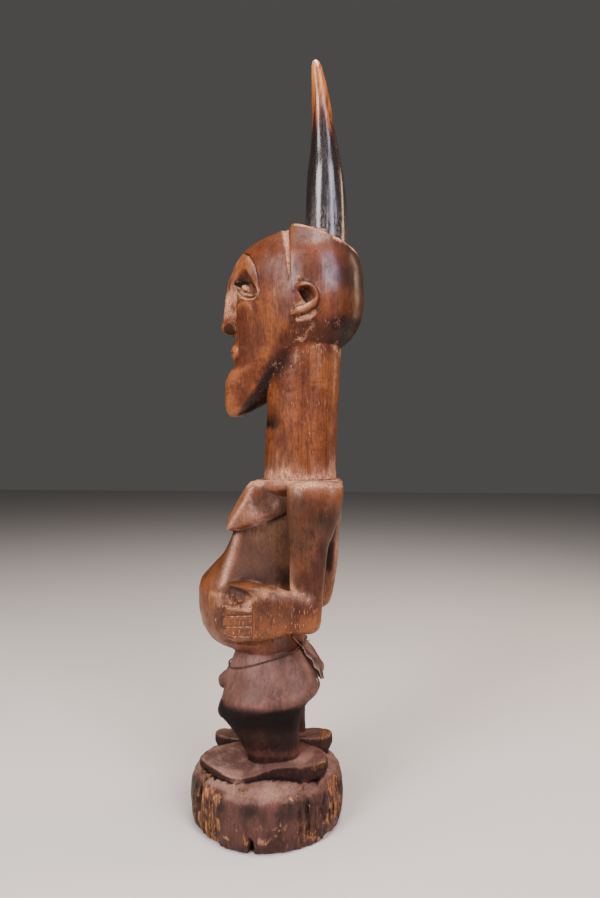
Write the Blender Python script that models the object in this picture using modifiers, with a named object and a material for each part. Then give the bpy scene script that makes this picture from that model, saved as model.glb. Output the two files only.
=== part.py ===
"""Standing power figure carved from one log, with a horn set in its crown.

The figure faces -Y, its left side is +X and it stands on z = 0, centred on its round plinth.
Lengths are in metres. The carving is drawn in units of about a millimetre, as shares of its own height.
"""

import math

import bmesh
import bpy
from mathutils import Vector
from mathutils.bvhtree import BVHTree

# Driving sizes
PLINTH_RADIUS = 0.066
PLINTH_HEIGHT = 0.046
STANDING_HEIGHT = 0.4623  # from the plinth's shoulder to the crest of the crown
DRAWN_HEIGHT = 462.3  # the same height in the units that the carving is drawn in
HORN_HEIGHT = 0.158  # above the crown
HORN_RADIUS = 0.018
HORN_LEAN = 0.0095  # how far the tip leans to the front
SOCKET_DEPTH = 0.006
CROWN_SLOPE = 0.465  # fall of the flat crown towards the back
PASTE_HEIGHT = 0.0036
PASTE_FRONT_WIDTH = 0.0046
PASTE_SIDE_WIDTH = 0.0062
PASTE_BACK_WIDTH = 0.0014
CORD_DIAMETER = 0.0016
HIDE_THICKNESS = 0.0055
GAP = 0.0003  # between pieces that touch
CLEAR_OF_CARVING = 0.2  # from the plinth's middle to where rays towards the carving start

UNIT = STANDING_HEIGHT / DRAWN_HEIGHT
SIDES = (1, -1)  # left, right

# Levels of the carving, from the bottom up. Each row holds the height above the plinth's shoulder, the front,
# the back and half the width, the place where it is widest, and how square the front and the back are.
HEAD_LEVELS = (
    (300, -32.5, -22, 7.5, -27, 2.2, 2.0),
    (303, -35.5, -14, 10, -24, 2.4, 2.0),
    (312, -37.3, -1, 12.5, -18, 2.6, 2.0),
    (328, -37.2, 18, 16.5, -9, 2.4, 2.0),
    (338, -34.0, 32, 20.5, -1, 2.1, 2.0),
    (345.5, -28.8, 44, 24, 6, 1.8, 2.0),
    (354, -28.5, 58, 28, 14, 1.65, 2.0),
    (361, -28.3, 67, 31, 22, 1.6, 2.1),
    (372, -28.6, 77, 34.5, 29, 1.55, 2.1),
    (384, -30.2, 82, 37, 34, 1.5, 2.1),
    (402, -33.0, 84, 38.5, 37, 1.5, 2.1),
    (419, -33.2, 82.8, 38, 38, 1.55, 2.1),
    (429, -30.2, 79.8, 36.4, 39, 1.65, 2.1),
    (437, -26.0, 76.5, 33.6, 40, 1.75, 2.1),
    (444, -19.8, 73.2, 30, 42, 1.85, 2.1),
    (451, -9.0, 69, 25.6, 43, 1.95, 2.0),
    (457.5, 6, 63.5, 20.4, 44, 2.0, 2.0),
    (463, 21, 56, 13.5, 44, 2.0, 2.0),
    (466, 33, 51, 6, 44, 2.0, 2.0),
)
NOSE_LEVELS = (
    (371.5, -34, -18, 6.2, -24, 1.8, 2.0),
    (374.5, -39.2, -18, 8.6, -25, 1.8, 2.0),
    (379, -40.9, -18, 8.8, -26, 1.7, 2.0),
    (386, -39.6, -18, 7.0, -26, 1.6, 2.0),
    (398, -38.3, -18, 5.2, -26, 1.6, 2.0),
    (412, -36.6, -18, 4.0, -26, 1.6, 2.0),
    (424, -33.2, -16, 3.4, -22, 1.6, 2.0),
    (433, -28.2, -12, 2.6, -20, 1.6, 2.0),
)
NECK_LEVELS = (
    (238, -3.2, 59.5, 29.5, 28, 2.1, 2.1),
    (246, -2.8, 59.8, 29, 28, 2.1, 2.1),
    (294, -0.4, 61, 27.5, 30, 2.1, 2.1),
    (345, 2.6, 63.8, 27, 33, 2.1, 2.1),
    (380, 5, 64, 26, 34, 2.1, 2.1),
)
TORSO_LEVELS = (
    (70, -14, 30, 20, 4, 2.0, 2.2),
    (84, -21, 32, 26, 3, 2.1, 2.2),
    (97, -25, 32, 30, 2, 2.1, 2.2),
    (101, -31, 32.5, 32, 1, 2.0, 2.2),
    (104.5, -43, 33, 34.5, -2, 1.9, 2.1),
    (110, -51, 33.5, 37, -5, 1.9, 2.0),
    (122, -57.8, 34, 39.5, -8, 1.85, 1.9),
    (136, -60.8, 35, 40.5, -8, 1.8, 1.9),
    (149, -60.9, 36, 40, -8, 1.8, 1.9),
    (158, -58.8, 36.5, 38, -8, 1.8, 1.9),
    (166, -52.4, 37, 35, -7, 1.9, 1.9),
    (184, -36.4, 39, 29, -4, 2.3, 2.0),
    (200, -29.4, 42, 27.5, 0, 2.5, 2.0),
    (216, -24, 46, 28.5, 6, 2.5, 2.1),
    (232, -16, 53.5, 36, 16, 2.2, 2.6),
    (241, -11, 60.5, 44, 21, 2.3, 3.0),
    (245, -8.5, 62, 43, 22, 2.4, 3.0),
)
LOIN_LEVELS = (
    (60.5, -40, -15, 4, -24, 1.8, 2.0),
    (63.5, -44, -15, 5.6, -24, 1.8, 2.0),
    (70, -44.4, -12, 6.4, -24, 1.8, 2.0),
    (78, -37.2, -10, 5.6, -22, 1.8, 2.0),
    (86, -32, -8, 4.6, -20, 1.8, 2.0),
)

# Levels of one leg and one breast: height, inner side, outer side, front, back, squareness and the rise of the
# level from its middle towards the back.
LEG_LEVELS = (
    (11, 11, 33, -12.2, 31, 2.4, 0),
    (20, 10, 34.5, -15.5, 30.6, 2.4, 0),
    (32, 8, 38, -21.5, 30.4, 2.4, 0.05),
    (44, 6, 42.5, -28, 31.5, 2.4, 0.12),
    (55, 4.5, 47.5, -33.4, 38.5, 2.3, 0.2),
    (60.5, 3, 50.2, -36.8, 46, 2.3, 0.23),
    (64, 3, 50.2, -37, 47.6, 2.3, 0.23),
    (75, 2, 46, -33.4, 44, 2.3, 0.18),
    (88, 1, 39, -29, 39, 2.3, 0.12),
    (98, 0.5, 34, -26, 33.5, 2.3, 0.05),
    (103, 0.5, 31, -24, 31, 2.3, 0),
)
BREAST_LEVELS = (
    (202, 9, 22, -31.6, -20, 2.0, 0),
    (205, 6, 26.5, -33.2, -8, 2.0, 0),
    (211, 3, 31, -31.4, 8, 2.1, 0),
    (218, 1.5, 35, -27.6, 23, 2.2, 0),
    (231, 0.5, 37.5, -20.2, 28, 2.3, 0),
    (241, -0.5, 38.5, -13.4, 28, 2.4, 0),
    (244.5, -0.5, 37, -10, 28, 2.4, 0),
)

# Levels of one upper arm: height, inner side, outer side, front, back on the left, back on the right, squareness.
UPPER_ARM_LEVELS = (
    (125, 39, 54, 29, 45.5, 46, 2.6),
    (128.5, 37, 57, 26.5, 49.8, 50.2, 3.0),
    (136, 36, 58, 26.2, 51.4, 53, 3.2),
    (150, 36, 57, 26.4, 52.6, 56, 3.2),
    (170, 36, 56, 26.4, 54.2, 58.3, 3.2),
    (192, 35, 57.5, 25.8, 56.8, 59.3, 3.2),
    (203, 34, 60, 25.2, 61, 60.4, 3.2),
    (216, 34, 62, 24.6, 65.4, 61.8, 3.2),
    (231, 34, 62, 24.4, 68.4, 63.4, 3.2),
    (240, 34, 61, 24.6, 68.8, 63, 3.2),
    (244, 35, 58.5, 26, 66.5, 61, 3.0),
    (245.5, 37, 55, 28, 63, 58, 2.6),
)

# Stations along a forearm and a thumb, from the back to the front: place, inner side, outer side, bottom, top,
# squareness.
FOREARM_STATIONS = (
    (46, 40, 54, 131, 149, 2.8),
    (41, 38.5, 57, 127.5, 153, 3.2),
    (26, 37.5, 57.5, 123.5, 157, 3.2),
    (10, 36, 56, 118.5, 160, 3.0),
    (1, 34.5, 54.5, 116.5, 159, 3.0),
    (-6, 33, 53, 115.5, 150, 3.2),
    (-18, 30.5, 50, 114.5, 145, 3.6),
    (-27, 28, 46.5, 117, 142.5, 3.4),
    (-30, 27, 43, 119.5, 140.5, 2.8),
)
THUMB_STATIONS = (
    (18, 37.5, 54, 149, 158.4, 2.6),
    (8, 36.5, 54.5, 149, 161, 2.6),
    (-2, 34.5, 52.5, 152, 162.6, 2.4),
    (-10, 32.5, 49.5, 155.5, 163, 2.2),
    (-19, 30, 45.5, 158, 162.4, 2.0),
    (-28, 27, 40.5, 159.6, 161.2, 2.0),
)

# Foot, drawn from above: broad in front, narrow in the middle. Its back rises to the ankle and falls outwards.
FOOT_FRONT = -53
FOOT_BACK = 55
FOOT_MIDDLE = 26
FOOT_INNER_WIDTH = 25.4
FOOT_OUTER_WIDTH = 14.5
FOOT_SWELLS = ((-20, 19, 7), (16, 12, -1.8), (40, 12, 1.8))  # ball, waist and heel: place, reach and swell
FOOT_TOP = 17
FOOT_INSTEP = (10, 26, 4)  # place, reach and height
FOOT_FALL = (-5, 45, 0.31)  # place, reach and slope
FOOT_BOTTOM = 1.2

# Small carving
BROW_INNER = (11.5, -30, 418)
BROW_OUTER = (28.5, -3.5, 406.5)
BROW_DEPTH = 5.2
BROW_DROP = 13.5
EYE_PLACE = (18.4, -12.2, 405)
EYE_TURN = math.radians(58)
EYE_SIZE = (10.5, 3.5, 4.2)
EYE_SLIT = (17, 2.6, 1.0)
EAR_PLACE = (36.4, 37, 394.5)
EAR_HOLLOW = (5.2, 6.8, 8.6)

# Centre line of the ear's rim, from its front end over the top and down to the tail of the lobe: place ahead of
# the ear's middle, height, half the rim's width and how far it stands out
EAR_RIM = (
    (-7.6, 8.8, 1.0, 2.2),
    (-1.5, 10.0, 2.3, 5.0),
    (5.2, 7.6, 2.8, 6.4),
    (8.5, 1.4, 2.9, 6.8),
    (7.0, -5.0, 3.2, 6.4),
    (1.5, -9.0, 3.5, 5.4),
    (-5.5, -11.2, 2.8, 4.2),
    (-12.0, -13.4, 0.9, 2.2),
)
LIPS_PLACE = (0, -24.2, 356)
LIPS_SIZE = (10.5, 8, 9.2)
LIPS_SLIT = (17, 6, 1.5)
FINGER_ROOT = (52, -3.5)
FINGER_TIP = (46.2, -31)
FINGER_HEIGHTS = ((136.4, 131.8), (129.0, 124.4), (121.4, 117.6))  # each groove at the root and at the tip
FINGER_GROOVE = (3.2, 1.3)
COIFFURE_FRONT = 20.5
COIFFURE_BASE = 418
COIFFURE_RISE = 2.2
COIFFURE_BACK_SHARE = 0.35  # how much of its rise the hair keeps at the back
CROWN_CREST = (27.5, 462.3)  # front edge of the flat crown: place and height
HORN_PLACE = 51.5

# Splits in the plinth: direction in degrees from the front towards the left, foot and top as shares of the
# plinth's height, width and depth
PLINTH_SPLITS = (
    (-14, 0.10, 1.10, 0.0042, 0.009),
    (38, 0.34, 1.12, 0.0040, 0.009),
    (55, 0.05, 0.80, 0.0026, 0.004),
    (88, -0.10, 0.36, 0.0028, 0.008),
    (134, 0.10, 0.72, 0.0036, 0.005),
    (161, 0.14, 1.00, 0.0060, 0.0055),
    (236, -0.10, 0.80, 0.0030, 0.007),
    (302, 0.20, 1.10, 0.0034, 0.006),
)

CORD_MIDDLE = 2
CORD_FRONT_HEIGHT = 85
CORD_BACK_HEIGHT = 107

# Levels of the hide scrap: height, edge near the middle, outer edge, share of its thickness
HIDE_LEVELS = (
    (73, 8, 14, 0.5),
    (79, 6, 19, 0.9),
    (88, 5, 24, 1.3),
    (96, 7, 23, 1.1),
    (102, 10, 20, 0.75),
    (107, 9, 22, 1.2),
    (113, 10, 20, 1.0),
    (117, 12, 17, 0.5),
)

# How finely the shapes are made
ROUND_POINTS = 28
LIMB_POINTS = 16
SMALL_POINTS = 12
PLINTH_POINTS = 36
CORD_POINTS = 46


def clear_scene():
    for obj in list(bpy.data.objects):
        bpy.data.objects.remove(obj, do_unlink=True)


def new_collection(name, parent=None):
    made = bpy.data.collections.new(name)
    (parent or bpy.context.scene.collection).children.link(made)
    return made


def drawn(x, y, z):
    """A place of the carving, from its drawing units to metres."""
    return Vector((x * UNIT, y * UNIT, PLINTH_HEIGHT + z * UNIT))


def material(name, colour, roughness, metallic=0.0):
    made = bpy.data.materials.new(name)
    made.use_nodes = True
    shader = made.node_tree.nodes["Principled BSDF"]
    shader.inputs["Base Color"].default_value = (*colour, 1)
    shader.inputs["Roughness"].default_value = roughness
    shader.inputs["Metallic"].default_value = metallic
    return made


def loop_point(angle, power):
    """A point of a rounded square of size 1. A power of 2 is a circle."""
    side, ahead = math.sin(angle), math.cos(angle)
    return (
        math.copysign(abs(side) ** (2 / power), side),
        math.copysign(abs(ahead) ** (2 / power), ahead),
    )


def egg_ring(row, points=ROUND_POINTS):
    """A level that is the same on both sides, with its own front and back."""
    height, front, back, half, widest, front_power, back_power = row
    ring = []
    for i in range(points):
        angle = 2 * math.pi * i / points
        faces_front = math.cos(angle) > 0
        side, ahead = loop_point(angle, front_power if faces_front else back_power)
        reach = widest - front if faces_front else back - widest
        ring.append(drawn(half * side, widest - reach * ahead, height))
    return ring


def box_ring(row, side):
    """A level of a limb on one side: a rounded box that may rise towards the back."""
    height, inner, outer, front, back, power, rise = row
    middle = (front + back) / 2
    ring = []
    for i in range(LIMB_POINTS):
        across, ahead = loop_point(2 * math.pi * i / LIMB_POINTS, power)
        x = (inner + outer) / 2 + (outer - inner) / 2 * across
        y = middle - (back - front) / 2 * ahead
        ring.append(drawn(side * x, y, height + rise * (y - middle)))
    return ring


def arm_ring(row, side):
    """A level of an upper arm. The carver left the two shoulders unlike."""
    height, inner, outer, front, left_back, right_back, power = row
    return box_ring((height, inner, outer, front, left_back if side > 0 else right_back, power, 0), side)


def upright_ring(row, side):
    """A station of a forearm on one side: a rounded box that stands across its length."""
    place, inner, outer, bottom, top, power = row
    ring = []
    for i in range(LIMB_POINTS):
        across, up = loop_point(2 * math.pi * i / LIMB_POINTS, power)
        x = (inner + outer) / 2 + (outer - inner) / 2 * across
        z = (bottom + top) / 2 + (top - bottom) / 2 * up
        ring.append(drawn(side * x, place, z))
    return ring


def mesh_object(name, mesh, collection, coat=None):
    for face in mesh.faces:
        face.smooth = True
    bmesh.ops.recalc_face_normals(mesh, faces=mesh.faces)
    data = bpy.data.meshes.new(name)
    mesh.to_mesh(data)
    mesh.free()
    data.set_sharp_from_angle(angle=math.radians(38))
    if coat:
        data.materials.append(coat)
    made = bpy.data.objects.new(name, data)
    collection.objects.link(made)
    return made


def loft(name, rings, collection, coat=None, closed=False):
    """A skin over rings of equal counts, with flat ends, or closed on itself."""
    mesh = bmesh.new()
    rows = [[mesh.verts.new(point) for point in ring] for ring in rings]
    pairs = zip(rows, rows[1:] + rows[:1]) if closed else zip(rows, rows[1:])
    for lower, upper in pairs:
        for i in range(len(lower)):
            j = (i + 1) % len(lower)
            mesh.faces.new((lower[i], lower[j], upper[j], upper[i]))
    if not closed:
        mesh.faces.new(rows[0])
        mesh.faces.new(rows[-1])
    return mesh_object(name, mesh, collection, coat)


def ellipsoid(name, place, size, collection, turn=0.0, segments=SMALL_POINTS):
    mesh = bmesh.new()
    bmesh.ops.create_uvsphere(mesh, u_segments=segments, v_segments=segments // 2, radius=1)
    for vert in mesh.verts:
        vert.co = Vector([c * s * UNIT for c, s in zip(vert.co, size)])
    made = mesh_object(name, mesh, collection)
    made.location = place
    made.rotation_euler.z = turn
    return made


def box(name, place, size, collection, turn=(0, 0, 0)):
    mesh = bmesh.new()
    bmesh.ops.create_cube(mesh, size=1)
    for vert in mesh.verts:
        vert.co = Vector([c * s for c, s in zip(vert.co, size)])
    made = mesh_object(name, mesh, collection)
    made.location = place
    made.rotation_euler = turn
    return made


def hide(obj):
    obj.hide_render = True
    obj.display_type = "WIRE"
    return obj


def boolean(obj, operation, operand):
    cut = obj.modifiers.new(operation.capitalize(), "BOOLEAN")
    cut.operation = operation
    cut.solver = "EXACT"
    if isinstance(operand, bpy.types.Collection):
        cut.operand_type = "COLLECTION"
        cut.collection = operand
    else:
        cut.object = operand
    return cut


def bump(at, place, reach):
    return math.exp(-(((at - place) / reach) ** 2))


def foot_place(angle, share):
    """A place on a foot seen from above, at a share of the way from its middle to its outline."""
    centre = (FOOT_FRONT + FOOT_BACK) / 2
    across, ahead = loop_point(angle, 2.5)
    y = centre - (FOOT_BACK - FOOT_FRONT) / 2 * ahead
    swell = sum(height * bump(y, place, reach) for place, reach, height in FOOT_SWELLS)
    width = FOOT_OUTER_WIDTH + swell if across > 0 else FOOT_INNER_WIDTH
    return FOOT_MIDDLE + width * across * share, centre + (y - centre) * share


def foot_top(x, y):
    place, reach, height = FOOT_INSTEP
    instep = height * bump(y, place, reach)
    place, reach, slope = FOOT_FALL
    return FOOT_TOP + 0.025 * y + instep - slope * bump(y, place, reach) * x


def foot(side, collection):
    rings = []
    for share, under in ((0.96, -5), (1, FOOT_BOTTOM), (1, None), (0.94, None), (0.6, None), (0.2, None)):
        ring = []
        for i in range(ROUND_POINTS):
            x, y = foot_place(2 * math.pi * i / ROUND_POINTS, share)
            rounding = 2.8 if share == 1 else 0
            ring.append(drawn(side * x, y, foot_top(x, y) - rounding if under is None else under))
        rings.append(ring)
    return hide(loft(f"foot {side}", rings, collection))


def plinth(collection, coat):
    """A turned drum with a rounded, gently domed top. Its profile runs from the top centre down."""
    r, h = PLINTH_RADIUS, PLINTH_HEIGHT
    profile = (
        (0.0, h * 1.10),
        (r * 0.45, h * 1.085),
        (r * 0.80, h * 1.03),
        (r * 0.91, h * 0.965),
        (r * 0.965, h * 0.87),
        (r * 0.99, h * 0.72),
        (r, h * 0.48),
        (r * 0.99, h * 0.2),
        (r * 0.965, h * 0.05),
        (r * 0.94, 0.0),
        (0.0, 0.0),
    )
    mesh = bmesh.new()
    points = [mesh.verts.new((x, 0, z)) for x, z in profile]
    for a, b in zip(points, points[1:]):
        mesh.edges.new((a, b))
    data = bpy.data.meshes.new("figure")
    mesh.to_mesh(data)
    mesh.free()
    data.materials.append(coat)
    made = bpy.data.objects.new("figure", data)
    collection.objects.link(made)
    turned = made.modifiers.new("Turned", "SCREW")
    turned.axis = "Z"
    turned.steps = turned.render_steps = PLINTH_POINTS
    turned.use_merge_vertices = True
    turned.merge_threshold = 0.0001
    return made


def masses(collection):
    """Everything that the carver left standing, as overlapping solids."""
    hide(loft("torso", [egg_ring(row) for row in TORSO_LEVELS], collection))
    hide(loft("neck", [egg_ring(row) for row in NECK_LEVELS], collection))
    hide(loft("head", [egg_ring(row) for row in HEAD_LEVELS], collection))
    hide(loft("nose", [egg_ring(row, SMALL_POINTS) for row in NOSE_LEVELS], collection))
    hide(loft("loin", [egg_ring(row, SMALL_POINTS) for row in LOIN_LEVELS], collection))
    hide(ellipsoid("lips", drawn(*LIPS_PLACE), LIPS_SIZE, collection))
    ears(collection)
    for side in SIDES:
        foot(side, collection)
        limbs = (
            ("leg", LEG_LEVELS, box_ring),
            ("breast", BREAST_LEVELS, box_ring),
            ("upper arm", UPPER_ARM_LEVELS, arm_ring),
            ("forearm", FOREARM_STATIONS, upright_ring),
            ("thumb", THUMB_STATIONS, upright_ring),
        )
        for name, rows, shape in limbs:
            rings = [shape(row, side) for row in rows]
            hide(loft(f"{name} {side}", rings, collection))


def coiffure(collection, workshop):
    """The hair: the head again, a little larger above the ears, kept behind the hairline."""
    rings = []
    for row in HEAD_LEVELS[9:]:
        height, front, back, half, widest, front_power, back_power = row
        rise = COIFFURE_RISE * min(1, (height - COIFFURE_BASE) / 16)
        grown = (height, front - rise, back + rise * COIFFURE_BACK_SHARE, half + rise, widest)
        rings.append(egg_ring((*grown, front_power, back_power)))
    hair = hide(loft("coiffure", rings, collection))
    depth = 120 * UNIT
    x, y, z = drawn(0, COIFFURE_FRONT, COIFFURE_BASE)
    keep = box("behind the hairline", (x, y + depth / 2, z), (depth, depth, depth), workshop)
    boolean(hair, "INTERSECT", hide(keep))


def crown_height(y):
    """Height of the flat crown at a place y, in metres."""
    crest = drawn(0, *CROWN_CREST)
    return crest.z - CROWN_SLOPE * (y - crest.y)


def crown_cutters(collection):
    """The sloping cut that flattens the crown, and the socket that the horn stands in."""
    size = 0.09
    slope = math.atan(CROWN_SLOPE)
    middle = drawn(0, HORN_PLACE, 0).y
    centre = Vector((0, middle, crown_height(middle)))
    lift = Vector((0, math.sin(slope), math.cos(slope))) * size / 2
    hide(box("crown cut", centre + lift, (size, size, size), collection, (-slope, 0, 0)))
    rings = [horn_ring(HORN_RADIUS + GAP, -SOCKET_DEPTH - GAP), horn_ring(HORN_RADIUS + GAP, size / 3)]
    hide(loft("horn socket", rings, collection))


def horn_ring(radius, lift, ahead=0.0, level=False):
    """A ring of the horn's foot, sloping as the crown does, or level further up."""
    middle = drawn(0, HORN_PLACE, 0).y
    ring = []
    for i in range(ROUND_POINTS):
        angle = 2 * math.pi * i / ROUND_POINTS
        x = radius * math.sin(angle)
        y = middle - radius * math.cos(angle)
        z = crown_height(middle if level else y) + lift
        ring.append(Vector((x, y - ahead, z)))
    return ring


def carving_cutters(collection):
    """Eye sockets, ear hollows, the mouth's slit and the grooves between the fingers."""
    x, y, z = LIPS_PLACE
    slit = [size * UNIT for size in LIPS_SLIT]
    hide(box("mouth slit", drawn(x, y - LIPS_SIZE[1], z - 0.5), slit, collection))
    for side in SIDES:
        brow_cut(side, collection)
        finger_grooves(side, collection)
        x, y, z = EAR_PLACE
        hollow = drawn(side * (x + 3.5), y + 0.2, z + 0.6)
        hide(ellipsoid(f"ear hollow {side}", hollow, EAR_HOLLOW, collection, segments=12))


def brow_cut(side, collection):
    """A wedge that undercuts the brow and opens the eye's socket."""
    inner, outer = Vector(BROW_INNER), Vector(BROW_OUTER)
    along = (outer - inner).normalized()
    inward = Vector((-along.y, along.x, 0)).normalized()
    rings = []
    for share, opening in ((0, 0.1), (0.18, 0.7), (0.45, 1), (0.75, 0.85), (1, 0.1)):
        brow = inner.lerp(outer, share) + Vector((0, 0, 2.2 * opening))
        corners = (
            brow - inward * 9,
            brow + inward * BROW_DEPTH * opening - Vector((0, 0, 1)),
            brow - inward * 1.5 - Vector((0, 0, BROW_DROP * opening + 0.4)),
            brow - inward * 9 - Vector((0, 0, BROW_DROP * opening + 0.4)),
        )
        rings.append([drawn(side * x, y, z) for x, y, z in corners])
    hide(loft(f"brow cut {side}", rings, collection))


def ears(collection):
    """C-shaped ears: a swept rim that ends in a pointed lobe, standing on the head round a hollow."""
    x, y, z = EAR_PLACE
    for side in SIDES:
        rings = []
        for i, (ahead, up, half, reach) in enumerate(EAR_RIM):
            before, after = EAR_RIM[max(i - 1, 0)], EAR_RIM[min(i + 1, len(EAR_RIM) - 1)]
            run = Vector((after[0] - before[0], after[1] - before[1])).normalized()
            ring = []
            for j in range(8):
                across, out = loop_point(2 * math.pi * j / 8, 2.4)
                place = (x - 4 + (4 + reach) * (1 + out) / 2, y + ahead - run.y * half * across)
                ring.append(drawn(side * place[0], place[1], z + up + run.x * half * across))
            rings.append(ring)
        hide(loft(f"ear {side}", rings, collection))


def finger_grooves(side, collection):
    (root_x, root_y), (tip_x, tip_y) = FINGER_ROOT, FINGER_TIP
    for number, (root_z, tip_z) in enumerate(FINGER_HEIGHTS):
        root = drawn(side * root_x, root_y, root_z)
        tip = drawn(side * tip_x, tip_y, tip_z)
        along = (root - tip).normalized()
        groove = box(
            f"finger groove {number} {side}",
            (root + tip) / 2,
            (FINGER_GROOVE[0] * UNIT, (root - tip).length, FINGER_GROOVE[1] * UNIT),
            collection,
        )
        groove.rotation_euler = along.to_track_quat("Y", "Z").to_euler()
        hide(groove)


def plinth_cutters(collection):
    """Wedges that open the splits in the plinth's side."""
    for number, (degrees, foot_share, top_share, width, depth) in enumerate(PLINTH_SPLITS):
        angle = math.radians(degrees)
        outward = Vector((math.sin(angle), -math.cos(angle), 0))
        across = Vector((math.cos(angle), math.sin(angle), 0))
        outside = outward * (PLINTH_RADIUS + 0.004)
        inside = outward * (PLINTH_RADIUS - depth)
        rings = []
        for share, open_share in ((foot_share, 1.0), ((foot_share + top_share) / 2, 0.9), (top_share, 0.15)):
            level = Vector((0, 0, PLINTH_HEIGHT * share))
            half = across * width * open_share
            rings.append([outside - half + level, outside + half + level, inside + level])
        hide(loft(f"split {number}", rings, collection))


def eyes(collection, workshop):
    """Almond eyes set back in their sockets, each with a level slit."""
    for side in SIDES:
        x, y, z = EYE_PLACE
        eye = hide(ellipsoid(f"eye {side}", drawn(side * x, y, z), EYE_SIZE, collection, side * EYE_TURN))
        slit_size = [size * UNIT for size in EYE_SLIT]
        face = drawn(side * (x + 3.4), y - 2.0, z - 0.4)
        slit = hide(box(f"eye slit {side}", face, slit_size, workshop, (0, 0, side * EYE_TURN)))
        boolean(eye, "DIFFERENCE", slit)


def figure(collection, workshop, coat):
    """The whole carving, plinth and figure in one piece of wood."""
    carved = plinth(collection, coat)
    standing = new_collection("carved masses", workshop)
    cutters = new_collection("cutters", workshop)
    details = new_collection("set back details", workshop)
    masses(standing)
    coiffure(standing, workshop)
    crown_cutters(cutters)
    carving_cutters(cutters)
    plinth_cutters(cutters)
    eyes(details, workshop)
    boolean(carved, "UNION", standing)
    boolean(carved, "DIFFERENCE", cutters)
    boolean(carved, "UNION", details)
    return carved


def horn(collection, coat):
    """A smooth horn that tapers late, leans forward and stands in its socket."""
    taper = ((0.06, 1.0), (0.21, 0.972), (0.36, 0.88), (0.49, 0.70), (0.65, 0.53), (0.81, 0.41), (0.93, 0.30))
    rings = [horn_ring(HORN_RADIUS, -SOCKET_DEPTH), horn_ring(HORN_RADIUS, PASTE_HEIGHT)]
    for share, width in (*taper, (0.985, 0.18), (1.0, 0.07)):
        ahead = HORN_LEAN * share**2.6
        rings.append(horn_ring(HORN_RADIUS * width, HORN_HEIGHT * share, ahead, level=share > 0.1))
    return loft("horn", rings, collection, coat)


def paste(collection, coat):
    """A crust of hardened paste on the crown, all round the horn's foot and widest at the front."""
    middle = drawn(0, HORN_PLACE, 0).y
    inner = HORN_RADIUS + GAP
    sections = []
    for i in range(ROUND_POINTS):
        angle = 2 * math.pi * i / ROUND_POINTS
        ahead, side = math.cos(angle), math.sin(angle)
        end = PASTE_FRONT_WIDTH if ahead > 0 else PASTE_BACK_WIDTH
        width = PASTE_SIDE_WIDTH + (end - PASTE_SIDE_WIDTH) * ahead**2
        section = []
        for reach, lift in ((0, 0), (width, 0), (width, 0.6), (width * 0.6, 0.85), (0, 1)):
            x = (inner + reach) * side
            y = middle - (inner + reach) * ahead
            section.append(Vector((x, y, crown_height(y) + GAP + lift * PASTE_HEIGHT)))
        sections.append(section)
    return loft("crown_paste", sections, collection, coat, closed=True)


def surface_of(obj):
    graph = bpy.context.evaluated_depsgraph_get()
    return BVHTree.FromObject(obj, graph)


def taut_loop(points):
    """The outline of a loop pulled tight round these points."""
    ordered = sorted(points)
    chains = []
    for run in (ordered, ordered[::-1]):
        chain = []
        for point in run:
            while len(chain) > 1:
                (ax, ay), (bx, by) = chain[-2], chain[-1]
                if (bx - ax) * (point[1] - ay) - (by - ay) * (point[0] - ax) > 0:
                    break
                chain.pop()
            chain.append(point)
        chains.append(chain[:-1])
    return chains[0] + chains[1]


def waist_cord(collection, surface, coat):
    """A thin cord tied round the hips, low in front and high at the back, that spans the hollows."""
    middle = drawn(0, CORD_MIDDLE, 0).y
    away = CORD_DIAMETER / 2 + GAP
    met = []
    for i in range(96):
        angle = 2 * math.pi * i / 96
        outward = Vector((math.sin(angle), -math.cos(angle), 0))
        for lift in (-away, 0, away):
            start = Vector((0, middle, cord_height(math.cos(angle)) + lift)) + outward * CLEAR_OF_CARVING
            hit = surface.ray_cast(start, -outward)[0]
            met.append((hit.x, hit.y))
    outline = taut_loop(met)
    points = []
    for i in range(CORD_POINTS):
        angle = 2 * math.pi * (i + 0.5) / CORD_POINTS
        outward = Vector((math.sin(angle), -math.cos(angle), 0))
        reach = max(crossings(outline, middle, outward)) + away
        points.append(Vector((0, middle, cord_height(math.cos(angle)))) + outward * reach)
    spline_data = bpy.data.curves.new("waist_cord", "CURVE")
    spline_data.dimensions = "3D"
    spline_data.bevel_depth = CORD_DIAMETER / 2
    spline_data.bevel_resolution = 1
    spline = spline_data.splines.new("POLY")
    spline.points.add(len(points) - 1)
    for point, place in zip(spline.points, points):
        point.co = (*place, 1)
    spline.use_cyclic_u = True
    spline_data.materials.append(coat)
    made = bpy.data.objects.new("waist_cord", spline_data)
    collection.objects.link(made)
    return made


def cord_height(ahead):
    share = (1 + ahead) / 2
    return drawn(0, 0, CORD_BACK_HEIGHT + (CORD_FRONT_HEIGHT - CORD_BACK_HEIGHT) * share).z


def crossings(outline, middle, outward):
    """How far from the middle a ray crosses the sides of the outline."""
    found = []
    for (ax, ay), (bx, by) in zip(outline, outline[1:] + outline[:1]):
        ay, by = ay - middle, by - middle
        turn = outward.x * (by - ay) - outward.y * (bx - ax)
        if abs(turn) < 1e-12:
            continue
        reach = (ax * (by - ay) - ay * (bx - ax)) / turn
        share = (ax * outward.y - ay * outward.x) / turn
        if -1e-6 <= share <= 1 + 1e-6 and reach > 0:
            found.append(reach)
    return found


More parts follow.
